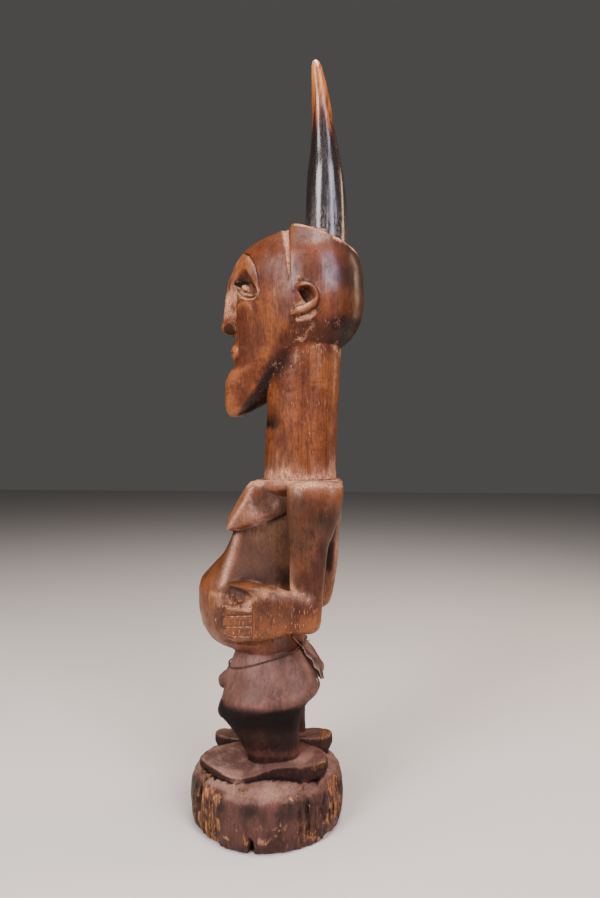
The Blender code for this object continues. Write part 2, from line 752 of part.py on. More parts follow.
def hide_scrap(collection, surface, coat):
    """A scrap of dry hide that hangs behind the hips, over the cord."""
    rings = []
    for height, inner, outer, share in HIDE_LEVELS:
        backs = []
        for step in range(9):
            x = inner - 2 + (outer - inner + 4) * step / 8
            for lift in (-5, -2.5, 0, 2.5, 5):
                start = drawn(x, 0, height + lift) + Vector((0, CLEAR_OF_CARVING, 0))
                backs.append(surface.ray_cast(start, Vector((0, -1, 0)))[0].y)
        near = max(backs) + CORD_DIAMETER + 3 * GAP
        ring = []
        for i in range(12):
            across, ahead = loop_point(2 * math.pi * i / 12, 2.6)
            place = drawn((inner + outer) / 2 + (outer - inner) / 2 * across, 0, height)
            place.y = near + HIDE_THICKNESS * share * (1 - ahead) / 2
            ring.append(place)
        rings.append(ring)
    return loft("hide_scrap", rings, collection, coat)


def main():
    clear_scene()
    object_parts = new_collection("power figure")
    workshop = new_collection("workshop")
    wood = material("carved wood", (0.22, 0.085, 0.035), 0.42)
    horn_coat = material("polished horn", (0.05, 0.032, 0.028), 0.2)
    paste_coat = material("dried paste", (0.36, 0.22, 0.14), 0.9)
    fibre = material("plant fibre cord", (0.16, 0.10, 0.06), 0.85)
    rawhide = material("dry hide", (0.10, 0.065, 0.05), 0.7)
    carved = figure(object_parts, workshop, wood)
    horn(object_parts, horn_coat)
    paste(object_parts, paste_coat)
    surface = surface_of(carved)
    waist_cord(object_parts, surface, fibre)
    hide_scrap(object_parts, surface, rawhide)


main()
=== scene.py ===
import math

import bpy
import numpy as np
from mathutils import Matrix, Vector
from mathutils.bvhtree import BVHTree


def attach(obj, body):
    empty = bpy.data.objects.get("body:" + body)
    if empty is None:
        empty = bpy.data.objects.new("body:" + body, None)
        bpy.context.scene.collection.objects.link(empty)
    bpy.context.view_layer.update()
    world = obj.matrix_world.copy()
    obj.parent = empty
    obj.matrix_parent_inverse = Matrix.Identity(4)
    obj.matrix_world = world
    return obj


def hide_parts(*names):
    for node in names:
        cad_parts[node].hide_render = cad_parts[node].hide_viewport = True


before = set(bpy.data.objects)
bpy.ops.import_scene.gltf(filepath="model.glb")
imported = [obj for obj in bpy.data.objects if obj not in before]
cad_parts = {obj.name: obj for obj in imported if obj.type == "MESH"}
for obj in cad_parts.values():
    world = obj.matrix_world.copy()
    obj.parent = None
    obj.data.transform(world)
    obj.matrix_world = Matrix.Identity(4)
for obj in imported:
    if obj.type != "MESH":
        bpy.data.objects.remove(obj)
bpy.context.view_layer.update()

# Places on the carving are in millimetres: x to its left, y to its back, h above the plinth's shoulder.
millimetre = 0.001
shoulder = 46.0  # the plinth's shoulder above the ground


photoView = {
    "azimuth": 97.0,  # degrees round from the figure's front, towards its left side
    "height": 0.3124,  # metres above the floor
    "distance": 0.5775,
    "aside": 0.0284,  # the camera stands this far to its own right
    "focalLength": 660.0,  # in pixels
    "horizonRow": 455.0,
    "pictureHeight": 898.0,
}


def viewAxes(view):
    turn = math.radians(view["azimuth"])
    towards = Vector((math.sin(turn), -math.cos(turn), 0))
    right = Vector((math.cos(turn), math.sin(turn), 0))
    return towards, right


def placeCamera(view):
    towards, right = viewAxes(view)
    data = bpy.data.cameras.new("photoCamera")
    data.sensor_fit = "VERTICAL"
    data.sensor_height = 36
    data.lens = data.sensor_height * view["focalLength"] / view["pictureHeight"]
    data.shift_y = (view["horizonRow"] - view["pictureHeight"] / 2) / view["pictureHeight"]
    data.clip_start = 0.01
    camera = bpy.data.objects.new("photoCamera", data)
    bpy.context.scene.collection.objects.link(camera)
    place = towards * view["distance"] + right * view["aside"] + Vector((0, 0, view["height"]))
    turned = Matrix((right, Vector((0, 0, 1)), towards)).transposed().to_4x4()
    camera.matrix_world = Matrix.Translation(place) @ turned
    bpy.context.scene.camera = camera


placeCamera(photoView)
print("camera placed")


def colour(hexText):  # sRGB hex to the linear colour that the shader wants
    parts = [int(hexText[i:i + 2], 16) / 255 for i in (1, 3, 5)]
    linear = [part / 12.92 if part <= 0.04045 else ((part + 0.055) / 1.055) ** 2.4 for part in parts]
    return (*linear, 1.0)


def addNode(tree, kind, settings):
    # a node with its options and sockets set; a value that is itself a socket is linked
    node = tree.nodes.new("ShaderNode" + kind)
    for key, value in settings.items():
        if key == "stops":
            marks = node.color_ramp.elements
            for i, (place, tint) in enumerate(value):
                mark = marks[i] if i < 2 else marks.new(place)
                mark.position = place
                mark.color = colour(tint)
        elif isinstance(value, bpy.types.NodeSocket):
            tree.links.new(value, node.inputs[key])
        elif isinstance(key, str) and hasattr(node, key):
            setattr(node, key, value)
        else:
            node.inputs[key].default_value = value
    return node


def chained(tree, sources, chain):
    # where something shows: rows of how it joins, what, and either an amount or low, high and the shares there
    mask = None
    for how, name, *span in chain:
        share = sources[name]
        if len(span) == 1:
            share = addNode(tree, "Math", {"operation": "MULTIPLY", "use_clamp": True, 0: share,
                                           1: span[0]}).outputs[0]
        elif span:
            low, high, least, most = span
            share = addNode(tree, "MapRange", {
                "interpolation_type": "SMOOTHSTEP", "Value": share, "From Min": low, "From Max": high,
                "To Min": least, "To Max": most}).outputs[0]
        mask = share if mask is None else addNode(tree, "Math", {
            "operation": how, "use_clamp": True, 0: mask, 1: share}).outputs[0]
    return mask


def coated(tree, sources, rows):
    # colours laid over each other: the ground first, then rows of colour, how it is laid and its chain
    ground, *layers = rows
    made = None
    for tint, how, *chain in [(ground, "MIX"), *layers]:
        if isinstance(tint, float):
            tint = (tint, tint, tint, 1.0)
        else:
            tint = sources[tint] if tint in sources else colour(tint)
        made = tint if made is None else addNode(tree, "Mix", {
            "data_type": "RGBA", "blend_type": how, 0: chained(tree, sources, chain) if chain else 1.0, 6: made,
            7: tint}).outputs[2]
    return made


def startMaterial(name, finish):
    # a material with its patterns at their real sizes and what is painted on the mesh, all by name
    made = bpy.data.materials.new(name)
    made.use_nodes = True
    tree = made.node_tree
    sources = {"place": addNode(tree, "TexCoord", {}).outputs["Object"]}
    for pattern, (size, detail, rough) in finish.get("patterns", {}).items():  # lumps in millimetres
        scaled = addNode(tree, "Mapping", {"Vector": sources["place"], "Scale": [1000 / part for part in size]})
        sources[pattern] = addNode(tree, "TexNoise", {"Vector": scaled.outputs[0], "Scale": 1.0,
                                                      "Detail": detail, "Roughness": rough}).outputs["Fac"]
    for layer, names in finish.get("painted", {}).items():
        painted = addNode(tree, "Attribute", {"attribute_name": layer})
        parts = addNode(tree, "SeparateColor", {"Color": painted.outputs["Color"]}).outputs
        sources.update(zip(names, [*parts, painted.outputs["Alpha"]]))
    for mask, chain in finish.get("masks", {}).items():
        sources[mask] = chained(tree, sources, chain)
    for coat, rows in finish.get("coats", {}).items():
        sources[coat] = coated(tree, sources, rows)
    shader = tree.nodes["Principled BSDF"]
    for socket, value in finish["shader"].items():
        shader.inputs[socket].default_value = value
    for pattern, strength, depth in finish.get("relief", ()):
        bump = addNode(tree, "Bump", {"Height": sources[pattern], "Distance": depth,
                                      "Strength": sources.get(strength, strength)})
        if "raised" in sources:
            tree.links.new(sources["raised"], bump.inputs["Normal"])
        sources["raised"] = bump.outputs[0]
        tree.links.new(sources["raised"], shader.inputs["Normal"])
    return made, tree, shader, sources


studio = {
    "floorReach": 5.0,
    "paper": {"shader": {"Base Color": colour("#c9c5bf"), "Roughness": 0.9}},
    "worldColour": "#eceae7",
    "worldStrength": 0.09,
    # each softbox: towards the camera, to its right, up, width, height, watts, colour
    "softboxes": {
        "keySoftbox": (0.94, -0.72, 0.97, 0.44, 0.95, 25.0, "#fbf0f4"),
        "sideSoftbox": (1.02, 0.58, 0.97, 0.58, 0.95, 22.0, "#f4e9ff"),
        "topSoftbox": (0.16, 0.10, 1.58, 0.60, 0.60, 26.0, "#fff6ec"),
        "rimSoftbox": (-0.30, 1.15, 0.70, 0.30, 0.90, 9.0, "#ffd9b8"),
        "fillSoftbox": (0.25, -1.30, 0.60, 0.80, 0.90, 4.5, "#ffeedd"),
    },
    "aim": (0, 0, 0.33),
}


def buildStudio(values):
    reach = values["floorReach"]
    mesh = bpy.data.meshes.new("floor")
    corners = [(-reach, -reach, 0), (reach, -reach, 0), (reach, reach, 0), (-reach, reach, 0)]
    mesh.from_pydata(corners, [], [(0, 1, 2, 3)])
    floor = bpy.data.objects.new("floor", mesh)
    bpy.context.scene.collection.objects.link(floor)
    # matt backdrop paper: no gloss, so only soft shadows show
    mesh.materials.append(startMaterial("seamlessPaper", values["paper"])[0])
    world = bpy.data.worlds.new("studio")
    world.use_nodes = True
    background = world.node_tree.nodes["Background"]
    background.inputs["Color"].default_value = colour(values["worldColour"])
    background.inputs["Strength"].default_value = values["worldStrength"]
    bpy.context.scene.world = world
    towards, right = viewAxes(photoView)
    aim = Vector(values["aim"])
    for name, (near, aside, up, width, height, watts, tint) in values["softboxes"].items():
        data = bpy.data.lights.new(name, "AREA")
        data.shape = "RECTANGLE"
        data.size, data.size_y = width, height
        data.energy = watts
        data.color = colour(tint)[:3]
        light = bpy.data.objects.new(name, data)
        light.location = towards * near + right * aside + Vector((0, 0, up))
        light.rotation_euler = (aim - light.location).to_track_quat("-Z", "Y").to_euler()
        bpy.context.scene.collection.objects.link(light)


buildStudio(studio)
print("studio built")


def ramp(value, low, high):  # 0 below low, 1 above high, eased between; low may be the larger
    share = np.clip((value - low) / (high - low), 0, 1)
    return share * share * (3 - 2 * share)


def bell(distance, reach):
    return np.exp(-((distance / reach) ** 2))


def cloud(points, cell, seed):
    # soft noise from -1 to 1; cell is how long its lumps are along x, y and z
    table = np.random.default_rng(seed).uniform(-1, 1, (32, 32, 32))
    place = points / np.array(cell, float) + 4096
    base = np.floor(place).astype(int)
    part = place - base
    part = part * part * (3 - 2 * part)
    total = np.zeros(len(points))
    for corner in range(8):
        step = np.array((corner & 1, corner >> 1 & 1, corner >> 2))
        weight = np.prod(np.where(step, part, 1 - part), axis=1)
        x, y, z = ((base + step) % 32).T
        total += weight * table[x, y, z]
    return total


def layered(points, cell, seed, layers=3):
    total, strength = 0, 0
    for layer in range(layers):
        total = total + cloud(points, np.array(cell, float) / 2**layer, seed + layer) / 2**layer
        strength += 1 / 2**layer
    return total / strength * 1.5


def eased(rows, spacing):
    # more rows between the given ones, each column on a smooth line that never overshoots
    rows = np.array(rows, float)
    gaps = np.diff(rows[:, 0])
    slopes = np.diff(rows, axis=0) / gaps[:, None]
    lean = np.zeros_like(rows)
    product = slopes[:-1] * slopes[1:]
    total = slopes[:-1] + slopes[1:]
    lean[1:-1] = np.where(product > 0, 2 * product / np.where(total == 0, 1, total), 0)
    lean[0], lean[-1] = slopes[0], slopes[-1]
    made = []
    for i, gap in enumerate(gaps):
        steps = max(1, int(math.ceil(abs(gap) / spacing)))
        for share in np.arange(steps) / steps:
            a, b = share * share * (3 - 2 * share), share * (1 - share) ** 2
            c = share * share * (share - 1)
            made.append(rows[i] * (1 - a) + rows[i + 1] * a + gap * (b * lean[i] + c * lean[i + 1]))
    made.append(rows[-1])
    return np.array(made)


def roundedLoop(count, frontPower, backPower=None):
    # a loop of size 1, round for a power of 2 and squarer above it; it starts at the front
    angle = np.arange(count) * 2 * math.pi / count
    side, ahead = np.sin(angle), np.cos(angle)
    power = np.where(ahead > 0, frontPower, frontPower if backPower is None else backPower)
    shaped = [np.sign(part) * np.abs(part) ** (2 / power) for part in (side, ahead)]
    return shaped[0], shaped[1]


def addLoft(shells, rings):  # a skin over rings of equal counts, with flat ends
    rings = np.array(rings, float)
    levels, count = rings.shape[:2]
    order = np.arange(levels * count).reshape(levels, count)
    beside = np.roll(order, -1, axis=1)
    quads = np.stack([order[:-1], beside[:-1], beside[1:], order[1:]], axis=-1).reshape(-1, 4)
    shells.append((rings.reshape(-1, 3), quads.tolist() + [order[0].tolist(), order[-1].tolist()]))


def addBall(shells, centre, size, count=40):
    angles = np.linspace(-math.pi / 2, math.pi / 2, count // 2 + 1)[1:-1]
    side, ahead = roundedLoop(count, 2)
    rings = []
    for tilt in angles:
        level = np.full(count, math.sin(tilt))
        ring = np.stack([side * math.cos(tilt), ahead * math.cos(tilt), level], axis=1)
        rings.append(ring * np.array(size) + np.array(centre))
    addLoft(shells, rings)


def meshFrom(name, shells):
    points, faces, start = [], [], 0
    for part, sides in shells:
        points.extend(part.tolist())
        faces.extend([[corner + start for corner in side] for side in sides])
        start += len(part)
    mesh = bpy.data.meshes.new(name)
    mesh.from_pydata(points, [], faces)
    mesh.update()
    return mesh


def settled(mesh, kind, **settings):
    # the mesh with one modifier worked into it
    holder = bpy.data.objects.new("holder", mesh)
    bpy.context.scene.collection.objects.link(holder)
    modifier = holder.modifiers.new("work", kind)
    for key, value in settings.items():
        setattr(modifier, key, value)
    graph = bpy.context.evaluated_depsgraph_get()
    made = bpy.data.meshes.new_from_object(holder.evaluated_get(graph))
    bpy.data.objects.remove(holder)
    bpy.data.meshes.remove(mesh)
    return made


def readMesh(mesh):
    co, normal = np.zeros(len(mesh.vertices) * 3), np.zeros(len(mesh.vertices) * 3)
    edges = np.zeros(len(mesh.edges) * 2, int)
    mesh.vertices.foreach_get("co", co)
    mesh.vertices.foreach_get("normal", normal)
    mesh.edges.foreach_get("vertices", edges)
    return co.reshape(-1, 3), normal.reshape(-1, 3), edges.reshape(-1, 2)


def writeMesh(mesh, co):
    mesh.vertices.foreach_set("co", co.ravel())
    mesh.update()


def averaged(co, edges, rounds, amounts=(0.5,)):
    # each point moves towards the middle of its neighbours; a second, negative amount keeps the volume
    counts = np.bincount(edges.ravel(), minlength=len(co))[:, None]
    for _ in range(rounds):
        for amount in amounts:
            total = np.stack([
                np.bincount(edges[:, 0], co[edges[:, 1], axis], len(co))
                + np.bincount(edges[:, 1], co[edges[:, 0], axis], len(co))
                for axis in range(3)
            ], axis=1)
            co = co + amount * (total / counts - co)
    return co


def distanceTo(path, y, h):
    # how far each point is from a line drawn in the side view
    best = np.full(len(y), 1e9)
    for (ay, ah), (by, bh) in zip(path, path[1:]):
        runY, runH = by - ay, bh - ah
        share = np.clip(((y - ay) * runY + (h - ah) * runH) / (runY**2 + runH**2), 0, 1)
        best = np.minimum(best, np.hypot(y - ay - share * runY, h - ah - share * runH))
    return best


def setMarks(mesh, name, columns):
    layer = mesh.attributes.new(name, "FLOAT_COLOR", "POINT")
    layer.data.foreach_set("color", np.clip(np.stack(columns, axis=1), 0, 1).astype(np.float32).ravel())


def addPiece(name, mesh, co, material, node=None):
    # a finished mesh, moved from carving millimetres to metres above the ground, as a named piece
    writeMesh(mesh, (co + (0, 0, shoulder)) * millimetre)
    for side in mesh.polygons:
        side.use_smooth = True
    mesh.name = name
    mesh.materials.clear()
    mesh.materials.append(material)
    piece = bpy.data.objects.new(name, mesh)
    bpy.context.scene.collection.objects.link(piece)
    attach(piece, "root")
    if node:
        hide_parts(node)
    print(name, "made,", len(mesh.polygons), "faces")
    return piece


carving = {
    "voxel": 0.7,
    "quickVoxel": 1.1,
    "smoothing": (0.5, -0.52),
    "mostTriangles": 188000,
    "ringPoints": 120,
    "levelSpacing": 1.6,
    # height, front, back, half the width, where it is widest, front and back squareness
    "head": (
        (300, -32.5, -22, 7.5, -27, 2.2, 2.0), (303, -35.5, -14, 10, -24, 2.4, 2.0),
        (312, -37.3, -1, 12.5, -18, 2.6, 2.0), (328, -37.2, 18, 16.5, -9, 2.4, 2.0),
        (338, -34.0, 32, 20.5, -1, 2.1, 2.0), (345.5, -28.8, 44, 24, 6, 1.8, 2.0),
        (354, -28.5, 58, 28, 14, 1.65, 2.0), (361, -28.3, 67, 31, 22, 1.65, 2.1),
        (372, -28.6, 77, 34.5, 29, 1.62, 2.1), (384, -30.2, 82, 37, 34, 1.6, 2.1),
        (402, -33.0, 84, 38.5, 37, 1.6, 2.1), (419, -33.2, 82.8, 38, 38, 1.65, 2.1),
        (429, -30.2, 79.8, 36.4, 39, 1.72, 2.1), (437, -26.0, 76.5, 33.6, 40, 1.8, 2.1),
        (444, -19.8, 73.2, 30, 42, 1.85, 2.1), (451, -9.0, 69, 25.6, 43, 1.95, 2.0),
        (457.5, 6, 63.5, 20.4, 44, 2.0, 2.0), (463, 21, 56, 13.5, 44, 2.0, 2.0),
        (466, 33, 51, 6, 44, 2.0, 2.0),
    ),
    "nose": (
        (371.5, -34, -18, 6.2, -24, 1.8, 2.0), (374.5, -39.2, -18, 8.6, -25, 1.8, 2.0),
        (379, -40.9, -18, 8.8, -26, 1.7, 2.0), (386, -39.6, -18, 7.0, -26, 1.6, 2.0),
        (398, -38.3, -18, 5.2, -26, 1.6, 2.0), (412, -36.6, -18, 4.0, -26, 1.6, 2.0),
        (424, -33.2, -16, 3.4, -22, 1.6, 2.0), (433, -28.2, -12, 2.6, -20, 1.6, 2.0),
    ),
    "neck": (
        (238, -3.2, 59.5, 29.5, 28, 2.1, 2.1), (246, -2.8, 59.8, 29, 28, 2.1, 2.1),
        (294, -0.4, 61, 27.5, 30, 2.1, 2.1), (345, 2.6, 63.8, 27, 33, 2.1, 2.1),
        (380, 5, 64, 26, 34, 2.1, 2.1),
    ),
    "torso": (
        (70, -14, 30, 20, 4, 2.0, 2.2), (84, -21, 32, 26, 3, 2.1, 2.2), (97, -25, 32, 30, 2, 2.1, 2.2),
        (101, -31, 32.5, 32, 1, 2.0, 2.2), (104.5, -43, 33, 34.5, -2, 1.9, 2.1),
        (110, -51, 33.5, 37, -5, 1.9, 2.0), (122, -57.8, 34, 39.5, -8, 1.85, 1.9),
        (136, -60.8, 35, 40.5, -8, 1.8, 1.9), (149, -60.9, 36, 40, -8, 1.8, 1.9),
        (158, -58.8, 36.5, 38, -8, 1.8, 1.9), (166, -52.4, 37, 35, -7, 1.9, 1.9),
        (184, -36.4, 39, 29, -4, 2.3, 2.0), (200, -29.4, 42, 27.5, 0, 2.5, 2.0),
        (216, -24, 46, 28.5, 6, 2.5, 2.1), (232, -16, 53.5, 36, 16, 2.2, 2.6),
        (241, -11, 60.5, 44, 21, 2.3, 3.0), (245, -8.5, 62, 43, 22, 2.4, 3.0),
    ),
    "loin": (
        (60.5, -40, -15, 4, -24, 1.8, 2.0), (63.5, -44, -15, 5.6, -24, 1.8, 2.0),
        (70, -44.4, -12, 6.4, -24, 1.8, 2.0), (78, -37.2, -10, 5.6, -22, 1.8, 2.0),
        (86, -32, -8, 4.6, -20, 1.8, 2.0),
    ),
    # height, inner side, outer side, front, back, squareness, rise towards the back
    "leg": (
        (11, 11, 33, -12.2, 31, 2.4, 0), (20, 10, 34.5, -15.5, 30.6, 2.4, 0),
        (32, 8, 38, -21.5, 30.4, 2.4, 0.05), (44, 6, 42.5, -28, 31.5, 2.4, 0.12),
        (55, 4.5, 47.5, -33.4, 38.5, 2.3, 0.2), (60.5, 3, 50.2, -36.8, 46, 2.3, 0.23),
        (64, 3, 50.2, -37, 47.6, 2.3, 0.23), (75, 2, 46, -33.4, 44, 2.3, 0.18),
        (88, 1, 39, -29, 39, 2.3, 0.12), (98, 0.5, 34, -26, 33.5, 2.3, 0.05), (103, 0.5, 31, -24, 31, 2.3, 0),
    ),
    "breast": (
        (202, 9, 22, -31.6, -20, 2.0, 0), (205, 6, 26.5, -33.2, -8, 2.0, 0), (211, 3, 31, -31.4, 8, 2.1, 0),
        (218, 1.5, 35, -27.6, 23, 2.2, 0), (231, 0.5, 37.5, -20.2, 28, 2.3, 0),
        (241, -0.5, 38.5, -13.4, 28, 2.4, 0), (244.5, -0.5, 37, -10, 28, 2.4, 0),
    ),
    # height, inner side, outer side, front, back on the left, back on the right, squareness
    "upperArm": (
        (125, 39, 54, 29, 45.5, 46, 2.6), (128.5, 37, 57, 26.5, 49.8, 50.2, 3.0),
        (136, 36, 58, 26.2, 51.4, 53, 3.2), (150, 36, 57, 26.4, 52.6, 56, 3.2),
        (170, 36, 56, 26.4, 54.2, 58.3, 3.2), (192, 35, 57.5, 25.8, 56.8, 59.3, 3.2),
        (203, 34, 60, 25.2, 61, 60.4, 3.2), (216, 34, 62, 24.6, 65.4, 61.8, 3.2),
        (231, 34, 62, 24.4, 68.4, 63.4, 3.2), (240, 34, 61, 24.6, 68.8, 63, 3.2),
        (244, 35, 58.5, 26, 66.5, 61, 3.0), (245.5, 37, 55, 28, 63, 58, 2.6),
    ),
    # place from back to front, inner side, outer side, bottom, top, squareness
    "forearm": (
        (46, 40, 54, 131, 149, 2.8), (41, 38.5, 57, 127.5, 153, 3.2), (26, 37.5, 57.5, 123.5, 157, 3.2),
        (10, 36, 56, 118.5, 160, 3.0), (1, 34.5, 54.5, 116.5, 159, 3.0), (-6, 33, 53, 115.5, 150, 3.2),
        (-18, 30.5, 50, 114.5, 145, 3.6), (-27, 28, 46.5, 117, 142.5, 3.4), (-30, 27, 43, 119.5, 140.5, 2.8),
    ),
    "thumb": (
        (18, 37.5, 54, 149, 158.4, 2.6), (8, 36.5, 54.5, 149, 161, 2.6),
        (-2, 34.5, 52.5, 152, 162.6, 2.4), (-10, 32.5, 49.5, 155.5, 163, 2.2),
        (-19, 30, 45.5, 158, 162.4, 2.0), (-28, 27, 40.5, 159.6, 161.2, 2.0),
    ),
    "lips": ((0, -24.2, 356), (10.5, 8, 9.2)),  # centre and size of the lump that the mouth is cut in
    "footFront": -53, "footBack": 55, "footMiddle": 26, "footInner": 25.4, "footOuter": 14.5, "footSole": 1.2,
    "footSwells": ((-20, 19, 7), (16, 12, -1.8), (40, 12, 1.8)),
    # the ear's rim, from its front end over the top and down to the lobe: ahead, up, half width, reach
    "earPlace": (36.4, 37, 394.5),
    "earRim": (
        (-7.6, 8.8, 1.0, 2.2), (-1.5, 10.0, 2.3, 5.0), (5.2, 7.6, 2.8, 6.4), (8.5, 1.4, 2.9, 6.8),
        (7.0, -5.0, 3.2, 6.4), (1.5, -9.0, 3.5, 5.4), (-5.5, -11.2, 2.8, 4.2), (-12.0, -13.4, 0.9, 2.2),
    ),
    "crownCrest": (27.5, 462.3),
    "crownSlope": 0.465,
    # the plinth's turned profile from the top centre down: share of the radius, share of the height
    "plinthRadius": 66.0,
    "plinthProfile": (
        (0.02, 1.10), (0.45, 1.085), (0.80, 1.03), (0.91, 0.965), (0.965, 0.87), (0.99, 0.72), (1.0, 0.48),
        (0.99, 0.2), (0.965, 0.05), (0.94, 0.0), (0.02, 0.0),
    ),
}


def crownAt(y):  # the flat crown slopes down to the back
    crestY, crestH = carving["crownCrest"]
    return crestH - carving["crownSlope"] * (y - crestY)


def eggRings(rows, values):
    rings = []
    for height, front, back, half, widest, frontPower, backPower in eased(rows, values["levelSpacing"]):
        side, ahead = roundedLoop(values["ringPoints"], frontPower, backPower)
        y = widest - np.where(ahead > 0, widest - front, back - widest) * ahead
        rings.append(np.stack([half * side, y, np.full(len(y), height)], axis=1))
    return rings


def boxRings(rows, side, values):
    rings = []
    for height, inner, outer, front, back, power, rise in rows:
        across, ahead = roundedLoop(values["ringPoints"], power)
        x = (inner + outer) / 2 + (outer - inner) / 2 * across
        y = (front + back) / 2 - (back - front) / 2 * ahead
        rings.append(np.stack([side * x, y, height + rise * (y - (front + back) / 2)], axis=1))
    return rings


def uprightRings(rows, side, values):
    rings = []
    for place, inner, outer, bottom, top, power in eased(rows, values["levelSpacing"]):
        across, up = roundedLoop(values["ringPoints"], power)
        x = (inner + outer) / 2 + (outer - inner) / 2 * across
        level = (bottom + top) / 2 + (top - bottom) / 2 * up
        rings.append(np.stack([side * x, np.full(len(x), place), level], axis=1))
    return rings


def footRings(side, values):
    centre = (values["footFront"] + values["footBack"]) / 2
    across, ahead = roundedLoop(200, 2.5)
    rings = []
    lower = [(0.9, 0), (0.92, 0.03), (0.965, 0.14), (1, 0.42), (1, 0.72)]  # shares of the outline and the height
    turns = np.linspace(0.25, math.pi / 2, 6)
    edge = [(1 - 0.06 * (1 - math.cos(turn)), 0.72 + 0.28 * math.sin(turn)) for turn in turns]
    for share, lift in lower + edge + [(part, 1) for part in np.linspace(0.88, 0.1, 14)]:
        y = centre - (values["footBack"] - values["footFront"]) / 2 * ahead
        swell = sum(height * bell(y - place, reach) for place, reach, height in values["footSwells"])
        width = np.where(across > 0, values["footOuter"] + swell, values["footInner"])
        x = values["footMiddle"] + width * across * share
        y = centre + (y - centre) * share
        top = 17 + 0.025 * y + 4 * bell(y - 10, 26) - 0.31 * bell(y + 5, 45) * x
        sole = values["footSole"]
        z = sole + (top - sole) * lift if lift > 0 else np.full(len(y), -5.0)  # sunk into the plinth
        rings.append(np.stack([side * x, y, z], axis=1))
    return rings


def earRings(side, values):
    rim = np.array(values["earRim"])
    steps = np.column_stack([np.arange(len(rim)), rim])
    dense = eased(steps, 0.06)[:, 1:]
    runs = np.gradient(dense[:, :2], axis=0)
    runs /= np.linalg.norm(runs, axis=1)[:, None]
    across, out = roundedLoop(28, 2.3)
    x, y, h = values["earPlace"]
    rings = []
    for (ahead, up, half, reach), (runY, runH) in zip(dense, runs):
        away = x - 4 + (4 + reach) * (1 + out) / 2  # rooted 4 mm inside the head
        rings.append(np.stack([side * away, y + ahead - runH * half * across, h + up + runY * half * across],
                              axis=1))
    return rings


def plinthRings(values):
    profile, size = np.array(values["plinthProfile"]), (values["plinthRadius"], shoulder)
    along = np.concatenate([[0], np.cumsum(np.hypot(*np.diff(profile * size, axis=0).T))])
    at = np.linspace(0, along[-1], 90)
    angle = np.arange(240) * 2 * math.pi / 240
    rings = []
    for share, lift in zip(np.interp(at, along, profile[:, 0]), np.interp(at, along, profile[:, 1])):
        reach = values["plinthRadius"] * share
        rings.append(np.stack([reach * np.sin(angle), -reach * np.cos(angle),
                               np.full(240, (lift - 1) * shoulder)], axis=1))
    return rings


def massesOf(values):
    shells = []
    for name in ("head", "nose", "neck", "torso", "loin"):
        addLoft(shells, eggRings(values[name], values))
    addBall(shells, *values["lips"])
    addLoft(shells, plinthRings(values))
    for side in (1, -1):
        for name in ("leg", "breast"):
            addLoft(shells, boxRings(eased(values[name], values["levelSpacing"]), side, values))
        arm = eased(values["upperArm"], values["levelSpacing"])
        back = arm[:, 4] if side > 0 else arm[:, 5]
        level = np.column_stack([arm[:, :4], back, arm[:, 6], np.zeros(len(arm))])
        addLoft(shells, boxRings(level, side, values))
        for name in ("forearm", "thumb"):
            addLoft(shells, uprightRings(values[name], side, values))
        addLoft(shells, footRings(side, values))
        addLoft(shells, earRings(side, values))
    return meshFrom("masses", shells)


